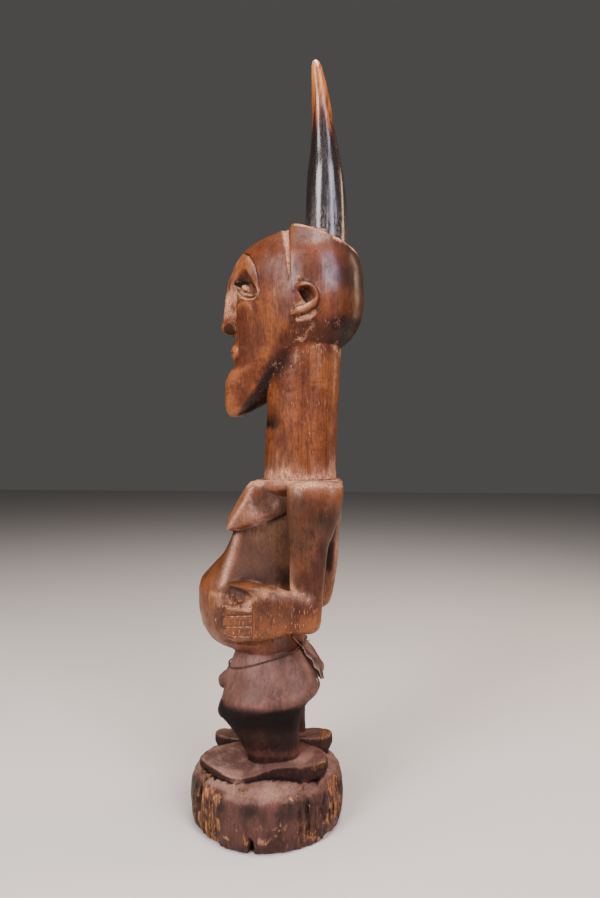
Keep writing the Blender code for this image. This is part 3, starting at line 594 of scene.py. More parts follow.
# What the knife and the years did, read off in the side view as (y, h) or round the plinth.
cuts = {
    "faceLine": ((-20.7, 442.2), (-13.2, 436.5), (-7.1, 426.5), (-3.9, 414), (-2.5, 403), (-3.4, 396)),
    "faceDepth": 0.9,
    "hairlineHeights": (413, 437, 460),
    "hairlinePlaces": (24.4, 23.4, 20.5),
    "hairRise": 2.4,
    "hairGrooveWidths": (0.3, 2.2, 7.0),
    # the eye: its middle seen from above, and the way that the face runs there
    "eyePlace": (20.5, -14.5, 405.5),
    "faceRun": (0.524, 0.852),
    "browPlaces": (-19, -16.5, -12, -6.9, -2, 3, 8.5, 13),
    "browHeights": (411, 414.7, 421, 425.6, 424.5, 419, 410, 403),
    "browDepths": (0, 3.4, 4.2, 4.2, 4.0, 3.4, 2.0, 0),
    "eyeSize": (14.5, 5.6),
    "eyeBall": (4.6, 2.8),
    "eyeSlant": (-3.2, 408.4, -0.38),  # along its middle, h there, fall towards the temple
    "jawLine": ((-26, 300), (-22.5, 306.4), (-7, 326.7), (6.8, 340), (29.7, 355), (56.5, 361.5), (70, 366)),
    # painted shade on the nape and under the jaw falls below this line
    "napeLine": ((-30, 296), (-24, 303), (-8, 324), (2, 345), (12.5, 365), (26, 380), (50, 383), (90, 386)),
    "breastRidge": ((-28.5, 206), (-21, 216), (-13, 228), (-8, 238)),
    "bellyRidge": ((-21, 203), (-24, 196), (-27, 184), (-31, 168), (-33.5, 158)),
    "earHollow": (39.2, 396.4, 9.4, 6.9),  # y, h and its two reaches
    "earFrontEdge": ((30, 403.5), (37.8, 389.5)),
    "elbowCrease": ((38, 158), (26, 158.5), (24, 166)),
    "breastEdge": ((-29, 202), (-16, 203.5), (-2, 208), (10, 214), (21, 219.5)),
    "noseWing": (-33, 376, 6.0),
    "mouthHeight": 355.3,
    "fingerRoot": -3.5,
    "fingerTip": -31.0,
    "fingerHeights": (  # of the grooves, at the root and at the tip
        (145.0, 141.4), (138.0, 134.8), (129.4, 126.0), (121.6, 118.4)),
    # splits in the plinth: degrees from the front towards the left, foot, top, width, depth
    "splits": (
        (38, 18, 52, 5.6, 12.0), (31, 4, 34, 2.4, 4.5), (45, 2, 40, 2.2, 4.0), (52, 6, 30, 2.6, 4.0),
        (60, 1, 26, 1.8, 3.0), (24, 8, 44, 2.0, 3.5), (88, -6, 15, 3.4, 8.0), (84, 6, 24, 1.4, 2.2),
        (124, 10, 34, 2.6, 4.2), (131, 6, 40, 2.4, 5.0), (137, 9, 30, 2.2, 4.0), (144, 14, 38, 2.8, 4.6),
        (152, 8, 46, 2.6, 4.6), (159, 10, 42, 3.0, 5.5), (166, 7, 45, 2.8, 5.0), (173, 12, 40, 2.4, 4.0),
        (-14, 4, 52, 4.0, 8.0), (-58, 8, 50, 3.4, 6.0), (-96, 2, 26, 2.4, 4.0), (-124, -6, 38, 3.2, 7.0),
        (-160, 14, 46, 2.4, 3.6),
    ),
    "paleChips": ((37.0, 0.4, 0.8), (28.0, -4.6, 1.5)),  # y, h, half the length
    # where the plinth's skin has gone: degrees, half the spread, lowest, highest, depth, how bare
    "bareness": ((47, 17, 0, 44, 1.5, 0.95), (131, 13, 3, 36, 1.6, 0.45), (160, 12, 12, 45, 2.4, 1.0),
                 (-20, 12, 0, 36, 1.2, 0.7), (-100, 14, 0, 30, 1.2, 0.6)),
}


def sideView(points):
    return points[:, 0], points[:, 1], points[:, 2]


def plinthPlaces(points):
    x, y, h = sideView(points)
    degrees = np.degrees(np.arctan2(x, -y))
    return degrees, np.hypot(x, y), h + shoulder


def turnedFrom(degrees, middle):
    return (degrees - middle + 180) % 360 - 180


def eyeAxes(points):
    x, y, h = sideView(points)
    centreX, centreY, _ = cuts["eyePlace"]
    runX, runY = cuts["faceRun"]
    along = (np.abs(x) - centreX) * runX + (y - centreY) * runY
    outward = (np.abs(x) - centreX) * runY - (y - centreY) * runX
    return along, outward


def hairShare(points):
    # 1 on the hair, 0 on the forehead, with the step between them
    _, y, h = sideView(points)
    edge = np.interp(h, cuts["hairlineHeights"], cuts["hairlinePlaces"])
    wide = np.interp(h, (413, 437, 462), (0.9, 1.5, 3.4))
    return ramp(y, edge, edge + wide) * ramp(h, 411, 438), y - edge


def behindEarEdge(y, h):  # how far behind the sharp front edge of the ear's hollow
    (edgeY, edgeH), (lowY, lowH) = cuts["earFrontEdge"]
    return y - edgeY - (h - edgeH) * (lowY - edgeY) / (lowH - edgeH)


def faceEdge(h):  # y of the face's carved edge at each height
    places, heights = zip(*cuts["faceLine"][::-1])
    return np.interp(h, heights, places)


def aboveEye(along, h):  # height above the eye's slanting middle line, and how tall the almond is there
    middle, level, fall = cuts["eyeSlant"]
    almond = np.clip(1 - ((along - middle) / cuts["eyeSize"][0]) ** 2, 0, 1)
    return h - level - fall * (along - middle), almond


def eyeBall(along, up):  # 1 on the ball's outline, less inside it
    length, height = cuts["eyeBall"]
    return ((along - cuts["eyeSlant"][0] + 1.8) / length) ** 2 + ((up - 0.2) / height) ** 2


def plinthWear(points):
    # how deep the plinth's side has worn, and how bare its wood is
    sideRadius = carving["plinthRadius"] - 2
    degrees, reach, up = plinthPlaces(points)
    onSide = ramp(reach, 44, 54) * ramp(up, 56, 50)
    depth, bare = np.zeros(len(points)), np.zeros(len(points))
    wander = cloud(points, (14, 14, 9), 61) * 2.2 + cloud(points, (5, 5, 5), 62) * 0.9
    for middle, low, high, width, deep in cuts["splits"]:
        fresh = 0.35 if 100 < middle < 148 else 0.8
        off = np.abs(np.radians(turnedFrom(degrees, middle)) * sideRadius + wander)
        ends = ramp(up, low - 2, low + 4) * ramp(up, high + 2, high - 7)
        cleft = np.clip(1 - off / (width * 0.62 * (0.35 + 0.65 * ends)), 0, 1) ** 0.75 * ends
        depth = np.maximum(depth, deep * cleft)
        bare = np.maximum(bare, bell(off, width * 1.1) * ends * fresh)
    ridges = np.abs(cloud(points, (4.2, 4.2, 30), 63)) * 1.3 + np.abs(cloud(points, (2.2, 2.2, 16), 64)) * 0.7
    for middle, spread, low, high, deep, share in cuts["bareness"]:
        off = np.abs(turnedFrom(degrees, middle)) + cloud(points, (9, 9, 16), 65) * spread * 0.35
        zone = ramp(off, spread, spread * 0.7) * ramp(up, low - 3, low + 3) * ramp(up, high + 2, high - 5)
        depth = np.maximum(depth, depth * 0.6 + zone * deep * (0.45 + ridges))
        bare = np.maximum(bare, zone * share)
    chips = layered(points, (11, 11, 7), 66)
    rim = bell(up - 45, 5) + 1.2 * bell(up - 1, 4.5)
    depth += rim * np.clip(chips - 0.12, 0, 1) * 4.5
    bare = np.maximum(bare, rim * ramp(chips, 0.25, 0.5) * 0.7)
    return depth * onSide, bare * onSide


def carveDeep(points, normals):
    # the deep cuts, made while the skin is still even
    side = np.sign(points[:, 0])
    hair, _ = hairShare(points)
    points = points + normals * (cuts["hairRise"] * hair * (points[:, 2] > 405))[:, None]
    x, y, h = sideView(points)
    points[:, 2] = np.where((y > carving["crownCrest"][0] - 9) & (h > crownAt(y)), crownAt(y), h)
    # the brow is undercut, and the eye lies back below it
    along, outward = eyeAxes(points)
    brow = np.interp(along, cuts["browPlaces"], cuts["browHeights"])
    deep = np.interp(along, cuts["browPlaces"], cuts["browDepths"], 0, 0)
    below = brow - h
    recess = deep * (0.25 * ramp(below, -0.3, 1.2) + 0.75 * ramp(below, 0, 9))
    recess *= np.clip(1 - below / 26, 0, 1) ** 0.6
    recess *= (outward > -9) & (np.abs(x) > 5.0)
    runX, runY = cuts["faceRun"]
    points[:, 0] -= side * runY * recess
    points[:, 1] += runX * recess
    # the ear's hollow
    hollowY, hollowH, reachY, reachH = cuts["earHollow"]
    oval = np.clip(1 - ((y - hollowY) / reachY) ** 2 - ((h - hollowH) / reachH) ** 2, 0, 1) ** 0.45
    behind = behindEarEdge(y, h)
    scoop = oval * ramp(behind, -0.5, 0.9) * (1 - 0.5 * np.clip(behind / 13, 0, 1))
    points[:, 0] -= side * 6.2 * scoop * (np.abs(x) > carving["earPlace"][0] - 5)
    # fingers lie a little lower than the back of the hand
    hand = (np.abs(x) > 30) & (h > 110) & (h < 148) & (y < 2)
    points[:, 0] -= side * hand * ramp(y, -2.4, -4.2) * 0.9
    worn, _ = plinthWear(points)
    reach = np.hypot(points[:, 0], points[:, 1]) + 1e-6
    for axis in (0, 1):
        points[:, axis] -= points[:, axis] / reach * worn
    return points


def carveFine(points, normals):
    # incised lines, the eye, the fingers and the tool marks; depths are millimetres into the wood
    x, y, h = sideView(points)
    away = np.abs(x)
    edge = faceEdge(h)
    inside = ramp(y, edge + 0.5, edge - 0.7) * ramp(h, 394, 399) * ramp(h, 445, 441)
    depth = (away > 3) * inside * cuts["faceDepth"] * ramp(away, 3, 8)
    depth += (away > 3) * bell(distanceTo(cuts["faceLine"], y, h), 0.8) * 1.1
    _, behind = hairShare(points)
    wide = np.interp(h, cuts["hairlineHeights"], cuts["hairGrooveWidths"])
    groove = ramp(behind, -wide - 0.6, -wide * 0.5) * ramp(behind, 0.6, -0.3) * ramp(h, 411, 416)
    depth += groove * 1.5 * (y < 30)
    # the almond eye stands out of its socket, with a slit and a lower lid
    along, outward = eyeAxes(points)
    up, almond = aboveEye(along, h)
    height = cuts["eyeSize"][1]
    here = (outward > -12) & (outward < 6) & (away > 6) & (h > 392) & (h < 422)
    socket = ramp(almond - (up / height) ** 2, 0, 0.25)
    depth += here * (socket * 1.3 - np.clip(1 - eyeBall(along, up), 0, 1) ** 0.5 * 2.6)
    for edge, wide, deep in ((height, 1.0, 1.5), (-7.2, 0.8, 0.8), (-2.9, 1.0, 0.5)):
        depth += here * bell(up - edge * almond ** 0.6, wide) * (almond > 0.02) * deep
    depth -= here * bell(up + 9.0 * almond ** 0.5, 1.0) * (almond > 0.05) * 0.6
    # nose wing, mouth
    wingY, wingH, wingReach = cuts["noseWing"]
    wing = np.hypot(y - wingY, h - wingH)
    onNose = (away > 2.5) & (y < -22) & (h > 368) & (h < 392)
    depth += onNose * bell(wing - wingReach, 0.9) * ramp(y, wingY - 2, wingY + 3) * 1.2
    depth -= onNose * np.clip(1 - (wing / wingReach) ** 2, 0, 1) * 0.9
    mouth = (away < 9.5) & (y < -24)
    depth += mouth * bell(h - cuts["mouthHeight"], 0.9) * 2.2 * ramp(away, 9.5, 6)
    # grooves part the four fingers and mark the top of the first
    share = (cuts["fingerRoot"] - y) / (cuts["fingerRoot"] - cuts["fingerTip"])
    hand = (away > 25) & (h > 112) & (h < 147) & (y > cuts["fingerTip"] - 1.5)
    for root, tip in cuts["fingerHeights"]:
        off = h - root - (tip - root) * share
        depth += hand * bell(off, 0.9) * ramp(share, -0.02, 0.07) * (1.7 + 0.5 * ramp(share, 0.8, 1))
    # ridges that the adze left down the breast and the belly
    depth -= (away < 36) * (h > 200) * bell(distanceTo(cuts["breastRidge"], y, h), 2.6) * 0.9
    depth -= (away < 36) * (h < 204) * (h > 150) * bell(distanceTo(cuts["bellyRidge"], y, h), 2.4) * 0.8
    depth += (away > 36) * bell(distanceTo(cuts["elbowCrease"], y, h), 1.2) * 0.7
    # tool marks, grain and checks, deeper below the waist
    upper = ramp(h, 96, 112)
    tooled = 0.30 * cloud(points, (9, 9, 11), 21) + 0.16 * cloud(points, (4, 4, 7), 22)
    depth += tooled * (0.6 + 0.6 * (1 - upper))
    grain = cloud(points, (1.7, 1.7, 26), 23) + 0.6 * cloud(points, (1.2, 1.2, 12), 24)
    depth += grain * (0.07 * upper + 0.17 * (1 - upper))
    checks = np.clip(np.abs(cloud(points, (3.4, 3.4, 60), 25)) * -14 + 1, 0, 1)
    checks *= ramp(cloud(points, (16, 16, 34), 26), 0.1, 0.45)
    depth += checks * (0.15 + 0.7 * (1 - upper))
    # cuts across the grain below the jaw, at the back of the legs and on the feet
    crossCut = bell(h - 330, 26) + bell(h - 55, 30) + bell(h - 12, 12)
    depth += 0.35 * np.abs(cloud(points, (7, 7, 3.2), 27)) * crossCut
    plinthSide = ramp(h, 6, 0) * ramp(np.hypot(x, y), 46, 56)
    weathered = 0.55 * np.abs(cloud(points, (3.4, 3.4, 22), 28)) + 0.4 * layered(points, (6, 6, 9), 29)
    points = points - normals * (depth + plinthSide * weathered)[:, None]
    points[:, 2] = np.maximum(points[:, 2], -shoulder)
    return points


def carvingMarks(points, normals, edges):
    # what dirt, hands and years did to each spot, for the wood's shader; each mark runs from 0 to 1
    x, y, h = sideView(points)
    away = np.abs(x)

    def byLine(path, reach):  # 1 on a line drawn in the side view, fading away from it
        return bell(distanceTo(path, y, h), reach)

    near = averaged(points, edges, 3)
    far = averaged(near, edges, 26)
    hollow = np.einsum("ij,ij->i", near - points, normals)
    deepHollow = np.einsum("ij,ij->i", far - points, normals)
    patches = layered(points, (7, 7, 9), 41)
    blots = layered(points, (18, 18, 24), 44)

    # places that several marks share
    edge = faceEdge(h)
    facePlane = ramp(y, edge + 0.5, edge - 1.5) * ramp(h, 394, 404) * ramp(h, 444, 440)
    _, behind = hairShare(points)
    jawY, jawH = zip(*cuts["jawLine"])
    overJaw = h - np.interp(y, jawY, jawH)
    nape = np.interp(y, *zip(*cuts["napeLine"])) - h
    onNeck = ramp((x / 27.6) ** 2 + ((y - 32) / 31) ** 2, 1.14, 1.03) * ramp(h, 372, 366)
    onArm = (away > 35) & (h > 112) & (h < 246)
    onBreast = ramp(h, 203, 212) * (h < 246) * ramp(away, 36.5, 35.5) * ramp(y, 26, 18)
    _, reach, lift = plinthPlaces(points)
    onPlinth = ramp(reach, 52, 58) * ramp(lift, 50, 44)
    breastY, breastH = zip(*cuts["breastEdge"])
    breastEdge = np.interp(y, breastY, breastH)
    worn, bare = plinthWear(points)

    # dry crust: forehead, nose, hairline, crown, neck's foot, shoulders, web of the thumb, elbow and chin, and a
    # pale line along the breast's ridge that is a painted highlight
    noseSide = ramp(y, -24.6, -26.2) * ramp(h, 380, 392) * ramp(h, 420, 400)
    wide = np.interp(h, cuts["hairlineHeights"], cuts["hairGrooveWidths"])
    crest = ramp(behind, -wide - 1, -wide * 0.6) * ramp(behind, 1.0, 0) * ramp(h, 412, 417)
    plane = crownAt(y)
    crownRim = 0.75 * ramp(h, plane - 6 - 2 * patches, plane - 1.5)
    crown = np.maximum(ramp(h, plane - 1.2, plane - 0.5), crownRim) * (y > carving["crownCrest"][0] - 2)
    neckFoot = ramp(h, 264 + 20 * cloud(points, (3, 3, 22), 48), 245) * (h > 240) * (away < 33)
    strokes = ramp(cloud(points, (15, 15, 1.9), 47), -0.35, 0.35)
    shoulders = ramp(h, 236, 242) * (h < 252) * (0.45 + 0.55 * ramp(normals[:, 2], 0.1, 0.6))
    shoulders = np.maximum.reduce([
        shoulders * (0.5 + 0.8 * strokes),
        onBreast * (0.22 + 0.40 * ramp(y, -8, 14) * ramp(patches, -0.3, 0.4)),
        # a painted highlight along the breast's ridge
        0.5 * onBreast * byLine(cuts["breastRidge"], 2.2),
        0.9 * ramp(hollow, 0.03, 0.16) * (np.abs(h - 131) < 14) * (away > 26) * (y < -2),
    ])
    web = byLine(((-24, 147), (-8, 151), (4, 156), (24, 160)), 5.5) * (away > 30) * 0.8
    elbow = 0.9 * byLine(((42, 153), (27, 159), (25, 178)), 4.0) * (away > 36)
    elbow += 0.6 * ramp(y, 50, 58) * (x < 0) * (away > 34) * (h > 150) * (h < 240)
    slanting = np.stack([x, y + 0.6 * h, h - 0.6 * y], axis=1)
    chin = 0.6 * bell(overJaw - 6, 9) * ramp(y, -8, 20) * (1 - onNeck)
    chin *= ramp(cloud(slanting, (9, 9, 2.0), 49), 0.0, 0.5)
    chin = np.maximum(chin, 0.6 * onNeck * bell(overJaw + 6, 8) * ramp(y, 12, 34))
    _, earY, earH = carving["earPlace"]
    lobe = byLine(((29, 386), (38, 388), (44, 393)), 4.2) * (away > 30)
    rim = distanceTo([(earY + ahead, earH + up) for ahead, up, _, _ in carving["earRim"]], y, h)
    byEar = (away > 30) * (y > 25) * (h > 376) * (h < 412)
    roundEar = bell(rim - 6.2, 2.4) * byEar * ramp(patches, -0.5, 0.4) * 0.9 * (away < 41)
    pits = ramp(layered(points, (5, 5, 4), 45), 0.34, 0.60) * onPlinth * ramp(lift, 32, 20)
    chips = np.zeros(len(points))
    for chipY, chipH, long in cuts["paleChips"]:
        chips = np.maximum(chips, bell(y - chipY - 1.6 * (chipH - h), 0.9) * bell(h - chipH, long) * (x > 30))
    crust = np.maximum((0.42 + 0.30 * bell(y - edge, 3)) * facePlane, 1.25 * noseSide)
    crust += 2.2 * crest + 1.6 * crown
    crust += 0.9 * neckFoot + 0.95 * shoulders + web + elbow + chin + 0.8 * lobe + roundEar + 1.2 * chips
    crust += ramp(hollow, 0.10, 0.34) * 0.9 * ramp(h, 100, 118) + 0.75 * pits
    crust = crust * (0.72 + 0.5 * patches) + 0.22 * ramp(patches, 0.15, 0.6) * ramp(h, 150, 200)
    fingersTop = ramp(h, 139.5, 141.5) * ramp(h, 154, 151) * ramp(y, -2, -5) * ramp(away, 24, 27)
    web = np.maximum(web, 0.9 * fingersTop)
    crust = np.maximum(crust, web * (0.75 + 0.5 * patches))

    # between arm and belly the wood was never handled; that and all below the waist is dull
    ridge = np.interp(h, (150, 160, 184, 202), (-35, -31, -24, -21))
    underArm = np.maximum.reduce([
        ramp(y, ridge, ridge + 7) * ramp(h, 155, 161) * ramp(h, breastEdge + 1, breastEdge - 1),
        0.7 * ramp(y, -2, 12) * ramp(h, 242, 232) * (h > breastEdge),
        0.6 * ramp(y, -37, -31) * ramp(h, 140, 144) * ramp(h, 160, 156) * (y < 4),
    ])
    underArm *= ramp(away, 37, 34.5) * ramp(away, 8, 16) * (y < 34)
    dull = np.maximum(ramp(h, 116, 98), underArm)
    heel = byLine(((44, 12), (52, 14)), 2.2) * (x > 0) + byLine(((46, 16), (52, 17)), 3) * (x < 0)
    bare = np.maximum(bare * (0.75 + 0.5 * patches), heel * (h > 3))

    # the eye: painted shade under the brow, along the upper lid, round the ball and in the slit, with a pale
    # ball and lower lid
    along, _ = eyeAxes(points)
    brow = np.interp(along, cuts["browPlaces"], cuts["browHeights"])
    up, almond = aboveEye(along, h)
    byEye = (away > 5) * (y < 0) * (h > 394)
    lidShade = ramp(brow - h, 0.2, 2.5) * ramp(up, 4.5, 6.5) * ramp(np.abs(along + 4.5), 14, 11) * byEye
    height = cuts["eyeSize"][1]
    ball = eyeBall(along, up)
    inside = ramp(almond - (up / height) ** 2, -0.05, 0.1)
    lids = np.maximum.reduce([
        bell(up - height * almond ** 0.6, 1.2),
        0.8 * bell(up + 7.2 * almond ** 0.6, 0.7),
        inside * ramp(ball, 0.9, 1.3) * ramp(up, -2.0, 0.2) * ramp(along, 6, -4),
        inside * bell(up + 2.9, 1.1) * bell(along - cuts["eyeSlant"][0] + 1.0, 5.0),
    ]) * byEye * (almond > 0.02)
    eyePale = inside * ramp(up, -3.6, -4.4) + ramp(ball, 1.0, 0.6) + bell(up + 9.0 * almond ** 0.5, 1.0)
    crust = np.maximum(crust * (1 - lidShade), 0.8 * byEye * eyePale * (almond > 0.05))

    # painted shade, with some darker blots: in hollows and creases, on the legs below the hips, under the
    # breast's edge, on the nose wing, under the brow and along the lids, inside the ear, in the gap behind the
    # arm, on the feet's sides and as a painted shadow under them, in a line round the ear's rim, and in the
    # plinth's deep splits
    dark = ramp(deepHollow, 0.5, 3.2) * 0.8 + ramp(hollow, 0.25, 0.8) * 0.6 + 0.25 * ramp(blots, 0.2, 0.8)
    dark *= 1 - 0.9 * np.clip(web, 0, 1)
    hollowY, hollowH, reachY, reachH = cuts["earHollow"]
    behindEdge = behindEarEdge(y, h)
    inEar = ramp(np.hypot((y - hollowY) / reachY, (h - hollowH) / reachH), 1.0, 0.8)
    inEar *= ramp(behindEdge, -0.5, 0.8)
    inEar *= (away > 24) * (away < 41.5) * (0.95 - 0.5 * ramp(behindEdge, 1, 10))
    wingY, wingH, wingReach = cuts["noseWing"]
    dark = np.maximum.reduce([
        dark,
        0.6 * ramp(h, 66, 58) * (0.45 * ramp(h, 14, 22) + 0.55 * ramp(h, 34, 50)),
        0.9 * bell(distanceTo(cuts["breastEdge"], y, h + 1.6), 2.2) * (away > 12) * (away < 36),
        0.9 * ramp(np.hypot(y - wingY, h - wingH), wingReach + 1, wingReach - 2) * (away > 2),
        0.52 * lidShade,
        lids,
        inEar,
        0.7 * ramp(np.abs(away - 36.3), 2.2, 1.0) * (h > 160) * ramp(h, 240, 224) * ramp(y, 14, 27) * (y < 60),
        ramp(deepHollow, 0.1, 0.7) * ramp(h, 12, 6) * ramp(h, -6, -1),
        0.75 * ramp(normals[:, 2], 0.6, 0.25) * ramp(h, 1, 3.5) * ramp(h, 20, 16),
        0.75 * bell(rim - 3.9, 0.8) * byEar * (away < 42) * (0.5 + 0.5 * ramp(patches, -0.4, 0.3)),
        ramp(worn, 3.0, 6.5),
    ])
    rubbed = ramp(-deepHollow, 0.10, 1.3) * (1 - 0.5 * dull) * (1 - np.clip(crust, 0, 1))

    # how light the skin is, place by place, with painted shade and a painted highlight in it, and where dust
    # lies
    # the arm is darkened, partly as painted shade on its outer side and partly for its darker wood
    armShadeAndTone = 0.17 + 0.05 * ramp(h, 160, 148) + 0.16 * ramp(h, 128, 150) * ramp(h, 240, 228)
    tone = 0.80 + 0.16 * blots - onArm * (armShadeAndTone + 0.22 * bell(h - 214, 15))
    # painted shade under the back of the skull and under the jaw, and on the neck below the jaw
    tone -= (0.35 * ramp(nape, -3, 10) + 0.40 * ramp(overJaw, 0.5, -2.5)) * (1 - onNeck) * (h > 290)
    tone -= 0.55 * bell(overJaw + 2, 9) * onNeck * ramp(y, 36, 14)
    # a painted highlight along the breast's ridge; darker towards the front below the head
    tone += 0.10 * byLine(cuts["breastRidge"], 4) - 0.22 * ramp(y, -22, -36) * (h < 300)
    tone += 0.08 * ramp(h, 60, 66) * ramp(h, 100, 94)
    # painted shade low between arm and belly, deeper towards the arm; darker at the back of the head
    tone -= 0.45 * ramp(h, 182, 160) * underArm * ramp(y, -26, 0) + 0.46 * ramp(y, 50, 78) * (h > 350)
    # painted shade on the legs under the hips' overhang; darker towards the plinth's foot
    tone -= ramp(h, 66, 56) * (0.42 * ramp(h, 20, 26) + 0.36 * ramp(h, 34, 50)) + 0.36 * ramp(h, -2, -12)
    tone -= 0.25 * bell(h + 13, 7) * onPlinth * ramp(patches, -0.6, 0.2)
    dusty = 0.74 * ramp(h, 20, 14) * (0.10 + 0.90 * ramp(normals[:, 2], 0.35, 0.95)) * ramp(h, -60, -8)
    dusty = np.maximum(dusty, 0.30 * ramp(h, 58, 70) * ramp(h, 104, 96) * ramp(normals[:, 2], -0.3, 0.3))

    # where hands polished it, where it is scratched pale, where it is redder (darker too below the nape line, as
    # painted shade), and a thin tan layer with painted highlights along the breast's and belly's ridges
    onHair = ramp(h, 398, 420) * ramp(behind, 0, 3)
    polish = 0.14 + 0.25 * onHair * ramp(plane - h, 16, 34) + 1.1 * bell(h - 414, 15) * bell(y - 50, 24)
    polish += 1.3 * onArm * bell(h - 233, 8) + 0.8 * bell(h - 428, 14) * bell(y - 2, 11)
    polish += 0.35 * onArm * (h < 225) + 0.7 * byLine(cuts["breastRidge"], 4.5) * (away < 36)
    polish += 0.7 * ramp(h, 236, 204) * ramp(h, 100, 116) * (away < 34)
    polish += 0.3 * ramp(h, 60, 66) * ramp(h, 104, 96)
    polish *= 1 - 0.8 * onNeck
    flecked = 0.45 * onNeck + 0.32 * ramp(h, 300, 320) * ramp(h, 400, 380) * (1 - onNeck) + 0.12
    flecked += 0.75 * onArm * ramp(h, 158, 140) + 0.1 * onArm
    flecked = flecked * ramp(h, 98, 112) + 0.3 * ramp(h, 24, 14) + 0.1 * onPlinth
    ruddy = 0.85 * ramp(h, 396, 420) * (1 - facePlane) + 0.35 * ramp(y, 48, 60) * (h > 370)
    # painted shade below the nape line, darker and redder
    ruddy += 0.5 * ramp(nape, -3, 10) * (1 - onNeck) * (h > 290)
    film = np.maximum.reduce([
        onBreast * (0.10 + 0.65 * ramp(y, -20, 0) * ramp(patches, -0.5, 0.4)) + 0.35 * shoulders,
        # painted highlights along the breast's and the belly's ridges
        0.9 * byLine(cuts["breastRidge"], 1.7) * (h > 204) * (h < 242),
        0.8 * byLine(cuts["bellyRidge"], 3.2) * (h < 204) * (h > 150),
        0.45 * neckFoot,
        0.5 * elbow,
        0.8 * crest,
        0.16 * ramp(h, 63, 70) * ramp(h, 106, 92) * ramp(blots, -0.5, 0.5),
        0.30 * facePlane * ramp(patches, -0.4, 0.4),
    ])
    return (crust, dull, bare, dark), (rubbed, dusty, underArm, tone), (polish, flecked, ruddy, film)


